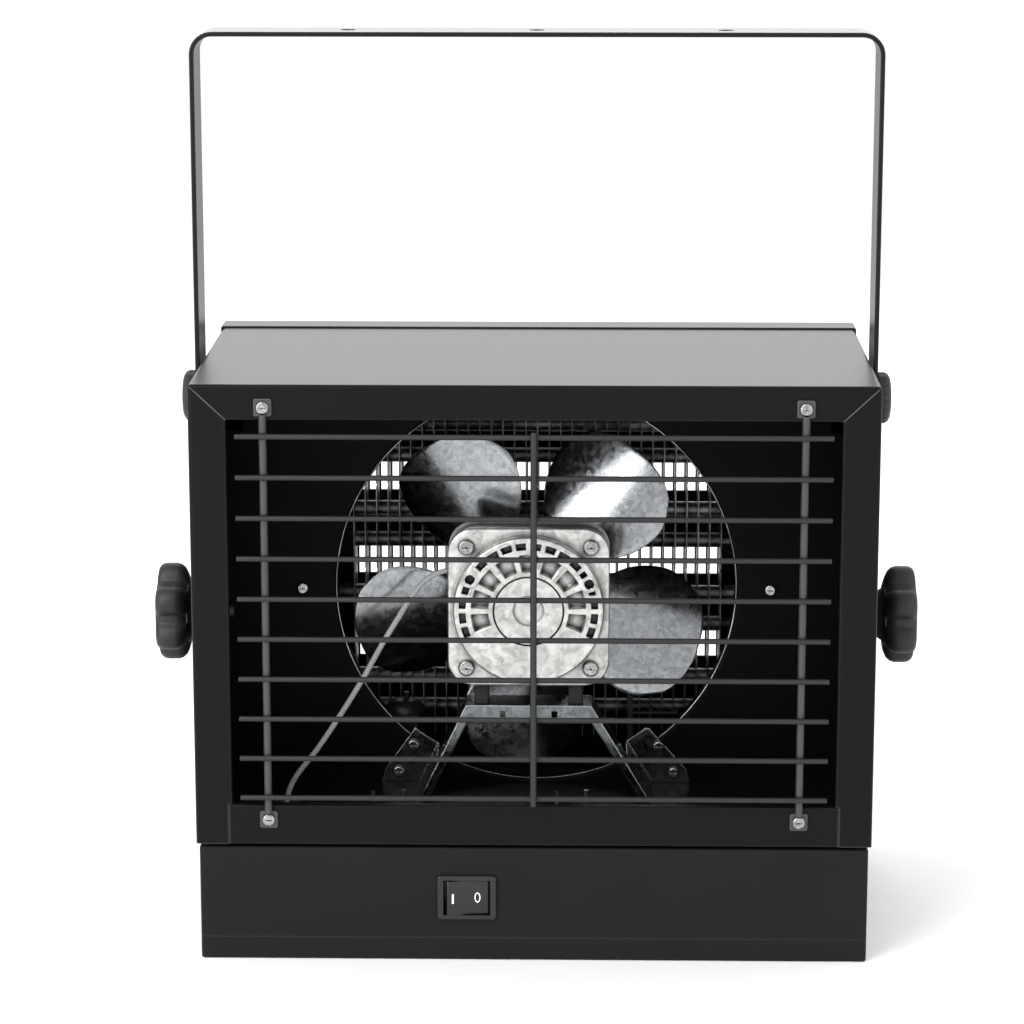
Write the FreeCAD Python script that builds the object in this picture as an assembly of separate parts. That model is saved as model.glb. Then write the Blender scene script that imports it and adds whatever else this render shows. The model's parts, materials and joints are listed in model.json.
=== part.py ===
import FreeCAD, Part
import math
import os

# Fan-forced workshop heater, hung from a tilting strap bracket.
# Millimetres. The origin is the centre of the base's underside: +X to the
# right of someone facing the guard, +Y to the rear, +Z up.

V = FreeCAD.Vector
X_AXIS = V(1, 0, 0)
Y_AXIS = V(0, 1, 0)
Z_AXIS = V(0, 0, 1)

# ---- overall sizes -----------------------------------------------------------
BODY_W = 356.0          # casing width
BODY_D = 200.0          # casing depth, bezel face to rear face
CASING_H = 246.0        # casing height
BASE_H = 62.0           # control base height
SEAM = 2.0              # shadow gap between base and casing
BASE_INSET = 1.5        # how far the base stands inside the casing's outline
PAN_H = 12.4            # height of the base pan's visible edge
PAN_TUCK = 22.0         # top of the pan's inner band
SHEET = 1.2             # steel sheet
COVER = 0.8             # thinner sheet of the rear cover
BEND = 2.0              # outside radius of a sheet fold
EDGE = 0.8              # small rounding of a folded rim
STRAP_EDGE = 0.5        # rounding of the strap's rolled edges
SCREW_R = 1.6           # sheet-metal screws
PIN_R = 1.5             # long screws of the base's fittings
BOLT_M4_R = 2.0         # M4 bolts
FOLD_TAB = 14.0         # height of the floor's side flanges

# ---- named clearances --------------------------------------------------------
RUN = 0.05              # radial clearance of a turning pin in its bore
THREAD = 0.05           # radial clearance of a screw in its hole
SLIP = 0.1              # slip clearance between nested sheets
APART = 0.3             # air between bodies that move past each other

# ---- front frame and guard ---------------------------------------------------
RAIL_SIDE = 19.5
RAIL_TOP = 18.3
RAIL_BOTTOM = 21.5
RAIL_LIP = 5.0          # depth of the folded lip round the opening
GUARD_WIRES = 10
GUARD_FIRST = 26.0      # first wire below the top panel
GUARD_LAST = 27.2       # last wire above the casing's bottom edge
GUARD_PITCH = (CASING_H - GUARD_FIRST - GUARD_LAST) / (GUARD_WIRES - 1)
GUARD_LEN = BODY_W - 49.0
WIRE_R = 1.45
ROD_R = 2.0
BRACE_R = 1.7
ROD_X = BODY_W / 2 - 38.8
ROD_SCREW_TOP = 11.6    # below the top panel
ROD_SCREW_BOTTOM = CASING_H - 14.0
WELD = 0.4              # how far welded wires sink into each other
GUARD_TAB = 4.6         # half width of the rods' flattened ends
SCREW_HEAD_R = 3.4

# ---- fan, orifice and motor --------------------------------------------------
AXIS_DROP = CASING_H / 2 + 9.5      # orifice centre below the top panel
MOTOR_X = -3.5          # the motor hangs a little left of the orifice
ORIFICE_R = CASING_H / 2 - 13.5
ORIFICE_Y = 11.0        # front face of the orifice plate
COLLAR_DEPTH = 7.0
COLLAR_ROUND = 3.0
BLADES = 5
BLADE_TIP_R = ORIFICE_R - 11.5
BLADE_ROOT_R = 24.0
BLADE_CHORD = 0.755 * BLADE_TIP_R
BLADE_CAMBER_R = BLADE_TIP_R - 3.0
BLADE_PITCH = 24.0      # degrees
BLADE_SHEET = 1.2
BLADE_START = -90.0     # direction of the lowest blade, degrees
BLADE_REACH = 17.5      # room kept in front of the blades' mid-plane
FAN_Y = 1.0             # mid-plane of the blades
MOTOR_SIDE = 87.0
MOTOR_CORNER = 14.0
MOTOR_FRONT_Y = -46.0   # face of the front end shield
SHIELD_FLANGE_Y = -38.0
CORE_Y0 = -34.0
CORE_Y1 = -20.0
SHIELD_R = MOTOR_SIDE / 2 - 3.0
REAR_SHIELD_Y = -12.0
SHAFT_R = 4.0
BORE_R = 0.276 * MOTOR_SIDE         # stator bore
ROTOR_GAP = 0.5
CORNER_SCREW = MOTOR_SIDE / 2 - 10.0    # motor through-bolt offset from the axis
CAVITY_R = SHIELD_R - 9.0           # hollow of the front shield
DOME_R = MOTOR_SIDE / 2 - 11.5      # rear shield's dome
WINDOW_OUT = MOTOR_SIDE / 2 - 9.5   # outer side of the core's windows
WINDOW_T = 6.0
WINDOW_HALF = 12.0
BEARING_R = 7.0
HUB_R = 9.0

# ---- motor stand -------------------------------------------------------------
SHELF_DROP = AXIS_DROP + MOTOR_SIDE / 2 + 11.0      # shelf surface below the top panel
SHELF_HALF = 34.0
SHELF_Y0 = -38.0
APRON_H = 10.0
LEG_FOOT_X = 65.0
FLANGE_W = 21.0
STAND_SCREW_SHARES = (0.63, 0.894)  # how far down the legs their screws sit
STAND_SCREW_OUT = 14.8              # and how far outside them
MOUNT_X = 25.5          # rubber blocks, offset from the motor's middle
MOUNT_Y = -27.0

# ---- heating elements --------------------------------------------------------
ELEMENTS = 4
ELEMENT_PITCH = (CASING_H - 1.0) / 5
ELEMENT_DROP = ELEMENT_PITCH + 14.0     # first element below the top panel
ELEMENT_Y = 77.5
TUBE_R = 4.25
TUBE_GAP = 18.0         # between the two legs of a U
FIN_T = 0.6
FIN_PITCH = 6.5
FINS = 33
FIN_DEEP = 25.0
FIN_TALL = ELEMENT_PITCH - 2.0
TUBE_LEFT = -112.0
TUBE_RIGHT = 124.0
TERMINAL_R = 2.0
TERMINAL_LEN = 11.0
BRACKET_X = 120.0       # the two upright channels that carry the elements

# ---- rear cover --------------------------------------------------------------
COVER_FLANGE = 20.0
SLOT_ROWS = 4
SLOT_DROP = ELEMENT_DROP - FIN_TALL / 2     # first row below the top panel
SLOT_COUNT = 32
SLOT_W = 4.9
SLOT_H = 17.0

# ---- bracket and its knobs ---------------------------------------------------
PIVOT_DROP = CASING_H / 2 + 21.5    # pivot below the top panel
STRAP_W = 32.0
STRAP_T = 2.5
STRAP_BEND = 12.0
STRAP_GAP = 2.5         # between strap and casing side
BRACKET_ABOVE = 173.0   # strap's top face above the top panel
BOLT_SPACING = 100.0
BOLT_R = 4.25
STUD_R = 3.95           # M8 pivot stud
STAR_R = 27.0
STAR_LOBES = 6
STAR_LEN = 24.0
LOCK_DROP = 24.0        # lock screw below the top panel
LOCK_HEAD_R = 13.9
LOCK_HEAD_T = 7.8
LOCK_STUD_R = 2.95      # M6
LOCK_SLEEVE_R = 4.0
SLOT_HALF = 4.3         # half width of the arc slot
TILT = 30.0             # each way, set by the slot's length

# ---- rocker switch and cable entry -------------------------------------------
SWITCH_X = -35.2
SWITCH_Z = 34.9
SWITCH_OPEN_W = 24.8
SWITCH_OPEN_H = 19.2
SWITCH_W = SWITCH_OPEN_W + 6.4
SWITCH_H = SWITCH_OPEN_H + 5.0
SWITCH_CUT_X = SWITCH_OPEN_W / 2 + 1.1     # half sizes of the hole in the base's front
SWITCH_CUT_Z = SWITCH_OPEN_H / 2 + 1.4
ROCKER_HALF = SWITCH_OPEN_W / 2 - 1.1
ROCKER_TILT = 10.0
ROCKER_PIN_R = 1.5
ROCKER_PINS = SWITCH_OPEN_H + 1.2          # length over both pins
SWITCH_DEEP = 20.0
GLAND_X = 120.0
GLAND_Z = 34.0
GLAND_BORE_R = 5.5
GLAND_STEM_R = 8.0

# ---- parts on the floor and in the base --------------------------------------
PIN_PLACES = ((-88.5, -32.0), (-71.7, -32.0), (12.1, -30.0), (27.9, -30.0))
LEAD_HOLE = (-136.0, -32.0)
LEAD_HOLE_R = 5.0
SUPPLY_HOLE = (150.0, 48.0)
SUPPLY_HOLE_R = 6.5
LEAD_R = 1.45
# The motor lead's drape: how far across to its hole, how far up from the floor.
LEAD_DRAPE = ((0.0, 1.0), (0.106, 0.971), (0.217, 0.891), (0.276, 0.826), (0.374, 0.718), (0.519, 0.543),
              (0.686, 0.361), (0.848, 0.204), (0.966, 0.091))
CUTOUT = (-75.0, 50.0)  # the cut-out's place on the floor
CUTOUT_TOP = 102.0
BASE_BOLT_X = 150.0
BASE_BOLT_Y = 64.0
BLOCK_X = 60.0          # terminal block
BLOCK_Y = 30.0
BLOCK_HALF_X = 22.0
BLOCK_HALF_Y = 13.0
BLOCK_TALL = 26.0

# ---- derived -----------------------------------------------------------------
TOP = BASE_H + SEAM + CASING_H
CASING_Z0 = BASE_H + SEAM
FRONT = -BODY_D / 2
REAR = BODY_D / 2
HALF_W = BODY_W / 2
ROD_Y = FRONT - ROD_R
WIRE_Y = ROD_Y - ROD_R - WIRE_R + WELD
BRACE_Y = WIRE_Y - WIRE_R - BRACE_R + WELD
OPEN_X = HALF_W - RAIL_SIDE
OPEN_Z1 = TOP - RAIL_TOP
OPEN_Z0 = CASING_Z0 + RAIL_BOTTOM
FLOOR_TOP = CASING_Z0 + SHEET
AXIS_Z = TOP - AXIS_DROP
BASE_HALF_W = HALF_W - BASE_INSET
BASE_FRONT = FRONT + BASE_INSET
BASE_REAR = REAR - BASE_INSET
STRAP_IN = HALF_W + STRAP_GAP
STRAP_OUT = STRAP_IN + STRAP_T
CORE_BACK = CORE_Y1 + 2.5                       # back of the rear shield's flange
MOUNT_TOP = AXIS_Z - MOTOR_SIDE / 2
CUTOUT_Z0 = CUTOUT_TOP - 15.0
BLOCK_TOP = SHEET + BLOCK_TALL
PIVOT_Y = BASE_FRONT + 3.0                      # the rocker's hinge line
PIVOT_Z = TOP - PIVOT_DROP
LOCK_Z = TOP - LOCK_DROP
LOCK_RISE = LOCK_Z - PIVOT_Z
STAND_SCREWS = [(SHELF_HALF + (LEG_FOOT_X - SHELF_HALF) * share + STAND_SCREW_OUT,
                 SHELF_DROP + (CASING_H - SHEET - SHELF_DROP) * share) for share in STAND_SCREW_SHARES]
COVER_SCREWS = [(REAR - 10, CASING_Z0 + 34), (REAR - 10, TOP - 34)]
FLOOR_SCREWS = [(-60, CASING_Z0 + 7), (45, CASING_Z0 + 7)]
BASE_BOLTS = [(sx * BASE_BOLT_X, sy * BASE_BOLT_Y) for sx in (-1, 1) for sy in (-1, 1)]
SIDE_SCREWS = [(-70, PAN_TUCK - 5), (70, PAN_TUCK - 5)]
BACK_SCREWS = [(BASE_REAR - 6, BASE_H - 22)]


# ---- helpers -----------------------------------------------------------------
def box(x0, x1, y0, y1, z0, z1):
    """Block between two corners."""
    return Part.makeBox(x1 - x0, y1 - y0, z1 - z0, V(x0, y0, z0))


def rod(start, axis, radius, length):
    """Cylinder from start along axis."""
    return Part.makeCylinder(radius, length, V(*start), axis)


def tube(start, axis, outer, inner, length):
    """Cylinder with a through bore."""
    return rod(start, axis, outer, length).cut(rod(start, axis, inner, length))


def join(first, rest):
    """One solid from overlapping pieces."""
    return first.fuse(rest).removeSplitter()


def mirrored(shape):
    """The same piece on the other side of the middle plane."""
    return shape.mirror(V(0, 0, 0), X_AXIS)


def both_sides(shape):
    """A left and right pair as one shape."""
    return Part.makeCompound([shape, mirrored(shape)])


def rounded_box(x0, x1, y0, y1, z0, z1, radius, direction):
    """Block whose four edges along direction are rounded."""
    block = box(x0, x1, y0, y1, z0, z1)
    edges = [e for e in block.Edges if abs(e.tangentAt(e.FirstParameter).dot(direction)) > 0.99]
    return block.makeFillet(radius, edges)


def revolve_y(points, centre_x, centre_z):
    """Ring from (radius, y) points turned about a line along Y."""
    wire = Part.makePolygon([V(centre_x + r, y, centre_z) for r, y in points + points[:1]])
    return Part.Face(wire).revolve(V(centre_x, 0, centre_z), Y_AXIS, 360)


def revolve_x(points, centre_y, centre_z):
    """Ring from (radius, x) points turned about a line along X."""
    wire = Part.makePolygon([V(x, centre_y + r, centre_z) for r, x in points + points[:1]])
    return Part.Face(wire).revolve(V(0, centre_y, centre_z), X_AXIS, 360)


def prism_y(points, y0, y1):
    """Prism along Y from (x, z) points."""
    wire = Part.makePolygon([V(x, y0, z) for x, z in points + points[:1]])
    return Part.Face(wire).extrude(V(0, y1 - y0, 0))


def wire_sweep(points, radius):
    """Round wire along a smooth path."""
    curve = Part.BSplineCurve()
    curve.interpolate([V(*p) for p in points])
    path = Part.Wire([curve.toShape()])
    direction = curve.tangent(curve.FirstParameter)[0]
    profile = Part.Wire([Part.makeCircle(radius, V(*points[0]), direction)])
    return path.makePipeShell([profile], True, True)


def pan_screw(tip, axis, shank_r, length, head_r, head_h):
    """Pan-head screw with a cross recess: tip inside, head at the far end of axis."""
    tip = V(*tip)
    shank = Part.makeCylinder(shank_r, length, tip, axis)
    seat = tip + axis * length
    head = Part.makeCylinder(head_r, head_h, seat, axis)
    rim = head.Edges[0] if head.Edges[0].BoundBox.Center.distanceToPoint(seat) > head_h / 2 else head.Edges[2]
    head = head.makeFillet(head_h * 0.55, [rim])
    side = axis.cross(Z_AXIS if abs(axis.dot(Z_AXIS)) < 0.9 else X_AXIS)
    up = axis.cross(side)
    for along, across in ((side, up), (up, side)):
        slot = Part.makeBox(head_r * 1.1, head_r * 0.24, head_h)
        slot.Placement = FreeCAD.Placement(
            seat + axis * head_h * 0.5 - along * head_r * 0.55 - across * head_r * 0.12,
            FreeCAD.Rotation(along, across, axis, "XYZ"),
        )
        head = head.cut(slot)
    return shank.fuse(head)


def screws(places, axis, shank_r, length, head_r, head_h):
    """Several identical screws as one shape."""
    return Part.makeCompound([pan_screw(p, axis, shank_r, length, head_r, head_h) for p in places])


# ---- casing ------------------------------------------------------------------
def arc_slot():
    """Arc-shaped cutter for the lock screw's slot in the right side."""
    outer = rod((HALF_W - 5, 0, PIVOT_Z), X_AXIS, LOCK_RISE + SLOT_HALF, 10)
    inner = rod((HALF_W - 5, 0, PIVOT_Z), X_AXIS, LOCK_RISE - SLOT_HALF, 10)
    half_run = LOCK_RISE * math.sin(math.radians(TILT))
    rise = LOCK_RISE * math.cos(math.radians(TILT))
    reach = 1.6 * LOCK_RISE
    wedge = Part.Face(Part.makePolygon([
        V(HALF_W - 5, 0, PIVOT_Z),
        V(HALF_W - 5, reach * math.sin(math.radians(TILT)), PIVOT_Z + reach * math.cos(math.radians(TILT))),
        V(HALF_W - 5, -reach * math.sin(math.radians(TILT)), PIVOT_Z + reach * math.cos(math.radians(TILT))),
        V(HALF_W - 5, 0, PIVOT_Z),
    ])).extrude(V(10, 0, 0))
    ends = [rod((HALF_W - 5, s * half_run, PIVOT_Z + rise), X_AXIS, SLOT_HALF, 10) for s in (-1, 1)]
    return outer.cut(inner).common(wedge).fuse(ends)


def side_holes():
    """Cutters for the pivot hole and arc slot in both sides."""
    pivot = rod((HALF_W - 5, 0, PIVOT_Z), X_AXIS, STUD_R + 2 * RUN, 10)
    cutters = [pivot, arc_slot()]
    return cutters + [mirrored(c) for c in cutters]


def guard_screw_places(depth):
    """Tips of the four guard screws, at a given Y."""
    drops = (ROD_SCREW_TOP, ROD_SCREW_BOTTOM)
    return [(s * ROD_X, depth, TOP - d) for s in (-1, 1) for d in drops]


def casing_wrap():
    """Top and sides with the mitred front frame folded from them."""
    back = REAR - COVER - SLIP
    outer = box(-HALF_W, HALF_W, FRONT, back, CASING_Z0, TOP)
    folded = [
        e for e in outer.Edges
        if (e.BoundBox.YMax < FRONT + 0.1 and e.BoundBox.ZMax > CASING_Z0 + 1)
        or (e.BoundBox.ZMin > TOP - 0.1 and abs(e.BoundBox.XMin) > HALF_W - 0.1
            and abs(e.BoundBox.XMax) > HALF_W - 0.1 and e.BoundBox.XLength < 1)
    ]
    outer = outer.makeFillet(BEND, folded)
    inner = box(-HALF_W + SHEET, HALF_W - SHEET, FRONT + SHEET, back + 1, CASING_Z0 - 1, TOP - SHEET)
    opening = box(-OPEN_X, OPEN_X, FRONT - 1, FRONT + 2 * SHEET, CASING_Z0 - 1, OPEN_Z1)
    rail_room = box(-OPEN_X - 2, OPEN_X + 2, FRONT - 1, FRONT + 2 * SHEET, CASING_Z0 - 1, OPEN_Z0 + APART)
    shell = outer.cut([inner, opening, rail_room])
    lip_y = FRONT + RAIL_LIP
    lips = [
        box(OPEN_X, OPEN_X + SHEET, FRONT + SHEET / 2, lip_y, OPEN_Z0 + APART, OPEN_Z1 + SHEET),
        box(-OPEN_X - SHEET, -OPEN_X, FRONT + SHEET / 2, lip_y, OPEN_Z0 + APART, OPEN_Z1 + SHEET),
        box(-OPEN_X - SHEET, OPEN_X + SHEET, FRONT + SHEET / 2, lip_y, OPEN_Z1, OPEN_Z1 + SHEET),
    ]
    shell = join(shell, lips)
    rim = [e for e in shell.Edges if e.BoundBox.YMax < FRONT + 0.01 and e.BoundBox.XMin > -OPEN_X - 0.01
           and e.BoundBox.XMax < OPEN_X + 0.01 and e.BoundBox.ZMax < OPEN_Z1 + 0.01
           and max(e.BoundBox.XLength, e.BoundBox.ZLength) > 150]
    shell = shell.makeFillet(EDGE, rim)
    mitre = Part.makeBox(40, 2, 0.5, V(-6, -1, -0.25))
    mitre.rotate(V(0, 0, 0), Y_AXIS, math.degrees(math.atan2(RAIL_TOP, RAIL_SIDE)) + 180)
    mitre.translate(V(HALF_W, FRONT - 0.6, TOP))
    holes = [rod(p, Y_AXIS, SCREW_R + THREAD, 4) for p in guard_screw_places(FRONT - 1)]
    side_screws = [rod((s * (HALF_W + 1) - (3 if s > 0 else 0), y, z), X_AXIS, SCREW_R + THREAD, 3)
                   for s in (-1, 1) for y, z in COVER_SCREWS + FLOOR_SCREWS]
    return shell.cut(side_holes() + holes + side_screws + [mitre, mirrored(mitre)])


def lead_holes():
    """Places and radii of the two holes that leads pass through."""
    return ((LEAD_HOLE, LEAD_HOLE_R), (SUPPLY_HOLE, SUPPLY_HOLE_R))


def casing_floor():
    """Bottom pan: floor, bottom rail with its lip, and side flanges."""
    half = HALF_W - SHEET - SLIP
    back = REAR - COVER - SLIP
    rail_half = OPEN_X + 2 - APART
    floor = box(-half, half, FRONT + SHEET + SLIP, back, CASING_Z0, FLOOR_TOP)
    rail = box(-rail_half, rail_half, FRONT, FRONT + SHEET, CASING_Z0, OPEN_Z0)
    foot = box(-rail_half, rail_half, FRONT, FRONT + 2 * SHEET, CASING_Z0, FLOOR_TOP)
    lip = box(-OPEN_X, OPEN_X, FRONT + SHEET / 2, FRONT + RAIL_LIP, OPEN_Z0 - SHEET, OPEN_Z0)
    flange = box(half - SHEET, half, FRONT + FOLD_TAB, back - FOLD_TAB, CASING_Z0, CASING_Z0 + FOLD_TAB)
    pan = join(floor, [rail, foot, lip, flange, mirrored(flange)])
    gap = box(half - 2 * SHEET, half + 1, ORIFICE_Y - 1, ORIFICE_Y + 12, FLOOR_TOP, CASING_Z0 + FOLD_TAB + 1)
    pan = pan.cut([gap, mirrored(gap)])
    edge = [e for e in pan.Edges
            if e.BoundBox.YMax < FRONT + 0.01 and e.BoundBox.XLength > 2 * OPEN_X - 1]
    pan = pan.makeFillet(EDGE, edge)
    holes = [rod((x, y, CASING_Z0 - 1), Z_AXIS, PIN_R + THREAD, 4) for x, y in PIN_PLACES]
    holes += [rod((x, y, CASING_Z0 - 1), Z_AXIS, r, 4) for (x, y), r in lead_holes()]
    holes += [rod((x, y, CASING_Z0 - 1), Z_AXIS, BOLT_M4_R + THREAD, 4) for x, y in BASE_BOLTS]
    holes += [rod(p, Y_AXIS, SCREW_R + THREAD, 4) for p in guard_screw_places(FRONT - 1)]
    holes += [rod((s * (HALF_W - 6) - (0 if s > 0 else 6), y, z), X_AXIS, SCREW_R + THREAD, 6)
              for s in (-1, 1) for y, z in FLOOR_SCREWS]
    return pan.cut(holes)


def rear_panel():
    """Rear cover slipped over the casing, with rows of upright outlet slots."""
    half = HALF_W + SLIP + COVER
    low = CASING_Z0 - SLIP - COVER
    high = TOP + SLIP + COVER
    front = REAR - COVER_FLANGE
    outer = box(-half, half, front, REAR, low, high)
    folds = [e for e in outer.Edges
             if e.BoundBox.YMin > REAR - 0.1 or e.BoundBox.YLength > COVER_FLANGE - 1]
    outer = outer.makeFillet(1.4, folds)
    inner = box(-half + COVER, half - COVER, front - 1, REAR - COVER, low + COVER, high - COVER)
    slots = []
    for row in range(SLOT_ROWS):
        mid = TOP - SLOT_DROP - row * ELEMENT_PITCH
        for i in range(SLOT_COUNT):
            x = (i - (SLOT_COUNT - 1) / 2) * FIN_PITCH
            slots.append(box(x - SLOT_W / 2, x + SLOT_W / 2, REAR - 3, REAR + 1,
                             mid - SLOT_H / 2, mid + SLOT_H / 2))
    holes = [rod((s * (half + 1) - (3 if s > 0 else 0), y, z), X_AXIS, SCREW_R + THREAD, 3)
             for s in (-1, 1) for y, z in COVER_SCREWS]
    return outer.cut([inner] + holes).cut(slots)


def casing_screws():
    """Pan-head screws in the casing sides: rear cover and floor flanges."""
    out = []
    for places, seat in ((COVER_SCREWS, HALF_W + SLIP + COVER), (FLOOR_SCREWS, HALF_W)):
        for y, z in places:
            screw = pan_screw((seat - 8, y, z), X_AXIS, SCREW_R, 8, 3.2, 1.8)
            out += [screw, mirrored(screw)]
    return Part.makeCompound(out)


# ---- guard -------------------------------------------------------------------
def guard_rod(side):
    """Upright rod with a flattened, drilled tab at each end."""
    x = side * ROD_X
    low = TOP - ROD_SCREW_BOTTOM
    high = TOP - ROD_SCREW_TOP
    tabs = [rounded_box(x - GUARD_TAB, x + GUARD_TAB, FRONT - SHEET, FRONT,
                        z - GUARD_TAB, z + GUARD_TAB, 1.2, Y_AXIS) for z in (low, high)]
    upright = join(rod((x, ROD_Y, low), Z_AXIS, ROD_R, high - low), tabs)
    clear = [rod((x, FRONT - 6, z), Y_AXIS, SCREW_HEAD_R + 0.2, 4.8) for z in (low, high)]
    holes = [rod((x, FRONT - 2, z), Y_AXIS, SCREW_R + THREAD, 4) for z in (low, high)]
    return upright.cut(clear + holes)


def guard_brace():
    """Upright brace wire across the front of the guard."""
    first = TOP - GUARD_FIRST
    last = first - (GUARD_WIRES - 1) * GUARD_PITCH
    return rod((0, BRACE_Y, last - 3), Z_AXIS, BRACE_R, first - last + 6)


def guard_wires():
    """Ten cross wires, saddled where they are welded to the rods and the brace."""
    uprights = [rod((s * ROD_X, ROD_Y, CASING_Z0), Z_AXIS, ROD_R, CASING_H) for s in (-1, 1)]
    uprights.append(rod((0, BRACE_Y, CASING_Z0), Z_AXIS, BRACE_R, CASING_H))
    wires = []
    for i in range(GUARD_WIRES):
        z = TOP - GUARD_FIRST - i * GUARD_PITCH
        wire = rod((-GUARD_LEN / 2, WIRE_Y, z), X_AXIS, WIRE_R, GUARD_LEN)
        wire = wire.makeFillet(0.6, [e for e in wire.Edges if e.BoundBox.XLength < 0.1])
        wires.append(wire.cut(uprights))
    return Part.makeCompound(wires)


def guard_screws():
    """Four pan-head screws through the rods' flattened ends."""
    return screws(guard_screw_places(FRONT + 8 - SHEET), V(0, -1, 0), SCREW_R, 8, SCREW_HEAD_R, 2.0)


# ---- orifice plate -----------------------------------------------------------
def orifice_plate():
    """Bulkhead with a rolled collar round the fan."""
    half = HALF_W - SHEET - SLIP
    y0 = ORIFICE_Y
    y1 = y0 + 1.0
    plate = box(-half, half, y0, y1, FLOOR_TOP, TOP - SHEET - SLIP)
    flange = box(half - 1.0, half, y0, y0 + 11, FLOOR_TOP, PIVOT_Z + 70)
    top_flange = box(-half + 30, half - 30, y0, y0 + 11, TOP - SHEET - SLIP - 1.0, TOP - SHEET - SLIP)
    plate = join(plate, [flange, mirrored(flange), top_flange])
    notch = box(half - 16, half + 1, y0 - 1, y0 + 12, LOCK_Z - 22, TOP)
    hole = rod((0, y0 - 1, AXIS_Z), Y_AXIS, ORIFICE_R + COLLAR_ROUND, 3)
    plate = plate.cut([notch, mirrored(notch), hole])
    steps = 6
    inner = []
    outer = []
    for i in range(steps + 1):
        a = math.radians(90 * i / steps)
        r = ORIFICE_R + COLLAR_ROUND * (1 - math.sin(a))
        inner.append((r, y0 + COLLAR_ROUND * (1 - math.cos(a))))
        r = ORIFICE_R + 1 + (COLLAR_ROUND - 1) * (1 - math.sin(a))
        outer.append((r, y1 + (COLLAR_ROUND - 1) * (1 - math.cos(a))))
    profile = inner + [(ORIFICE_R, y0 + COLLAR_DEPTH), (ORIFICE_R + 1, y0 + COLLAR_DEPTH)] + outer[::-1]
    profile[0] = (ORIFICE_R + COLLAR_ROUND + 0.01, y0)
    profile[-1] = (ORIFICE_R + COLLAR_ROUND + 0.01, y1)
    collar = revolve_y(profile, 0, AXIS_Z)
    plate = join(plate, [collar])
    holes = [rod((x, y0 - 1, z), Y_AXIS, SCREW_R + THREAD, 3) for x, z in plate_screw_places()]
    return plate.cut(holes)


def plate_screw_places():
    """Screw holes in the orifice plate: stand feet and element brackets."""
    stand = [(s * x, TOP - drop) for s in (-1, 1) for x, drop in STAND_SCREWS]
    return stand + element_bracket_screws()


def element_bracket_screws():
    """Screws that hold the element brackets to the orifice plate."""
    return [(BRACKET_X + 9, AXIS_Z - 1.5), (-BRACKET_X - 9, AXIS_Z - 1.5)]


# ---- motor stand -------------------------------------------------------------
def motor_stand():
    """A-frame of folded strip under the motor, its feet turned out on the bulkhead."""
    shelf_z = TOP - SHELF_DROP
    back = ORIFICE_Y - 1.2
    cx = MOTOR_X
    t = 1.2
    legs = []
    for s in (-1, 1):
        top_x = cx + s * SHELF_HALF
        foot_x = s * LEG_FOOT_X
        foot_z = FLOOR_TOP
        run = foot_x - top_x
        drop = shelf_z - foot_z
        length = math.hypot(run, drop)
        nx = s * drop / length
        nz = s * run / length
        strip = [(top_x, shelf_z), (foot_x, foot_z), (foot_x - nx * t, foot_z),
                 (top_x - nx * t, shelf_z - nz * t)]
        legs.append(prism_y(strip, SHELF_Y0, back + t))
        lip = [(top_x, shelf_z), (foot_x, foot_z), (foot_x - nx * 5, foot_z),
               (top_x - nx * 5, shelf_z - nz * 5)]
        legs.append(prism_y(lip, SHELF_Y0, SHELF_Y0 + t))
        k0 = 0.42
        hx = top_x + run * k0
        hz = shelf_z - drop * k0
        flange = [(hx, hz), (foot_x, foot_z), (foot_x + s * FLANGE_W, foot_z),
                  (foot_x + s * (FLANGE_W - 2), foot_z + 8), (hx + s * FLANGE_W * 0.86, hz - 2)]
        legs.append(prism_y(flange, back, back + t))
    shelf = box(cx - SHELF_HALF, cx + SHELF_HALF, SHELF_Y0, back, shelf_z - t, shelf_z)
    apron = box(cx - SHELF_HALF + 0.5, cx + SHELF_HALF - 0.5, SHELF_Y0, SHELF_Y0 + t,
                shelf_z - APRON_H, shelf_z)
    stand = join(shelf, legs + [apron])
    holes = [rod((s * x, back - 1, TOP - d), Y_AXIS, SCREW_R + THREAD, 4)
             for s in (-1, 1) for x, d in STAND_SCREWS]
    slots = [box(cx + s * 14 - 1.6, cx + s * 14 + 1.6, SHELF_Y0 - 1, SHELF_Y0 + 3,
                 shelf_z - 8.5, shelf_z - 3.5) for s in (-1, 1)]
    studs = [rod((cx + s * MOUNT_X, MOUNT_Y, shelf_z - 3), Z_AXIS, BOLT_M4_R + THREAD, 6) for s in (-1, 1)]
    sweep = on_axis(BLADE_TIP_R + 5, FAN_Y - BLADE_REACH, ORIFICE_Y + 2)
    return stand.cut(holes + slots + studs + [sweep])


def plate_screws():
    """Screws through the stand feet and bracket tabs into the bulkhead."""
    stand = [(s * x, ORIFICE_Y + 5, TOP - d) for s in (-1, 1) for x, d in STAND_SCREWS]
    tabs = [(x, ORIFICE_Y + 5, z) for x, z in element_bracket_screws()]
    first = screws(stand, V(0, -1, 0), SCREW_R, 5 + 1.2, 3.3, 2.0)
    second = screws(tabs, V(0, -1, 0), SCREW_R, 5, 3.3, 2.0)
    return Part.makeCompound([first, second])


def mount_block(side):
    """Rubber block with a bonded stud between the motor and the shelf."""
    shelf_z = TOP - SHELF_DROP
    x = MOTOR_X + side * MOUNT_X
    block = rounded_box(x - 4, x + 4, MOUNT_Y - 6, MOUNT_Y + 6, shelf_z, MOUNT_TOP, 1.5, Z_AXIS)
    stud = rod((x, MOUNT_Y, shelf_z - 7), Z_AXIS, BOLT_M4_R, 8)
    return join(block, [stud])


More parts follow.
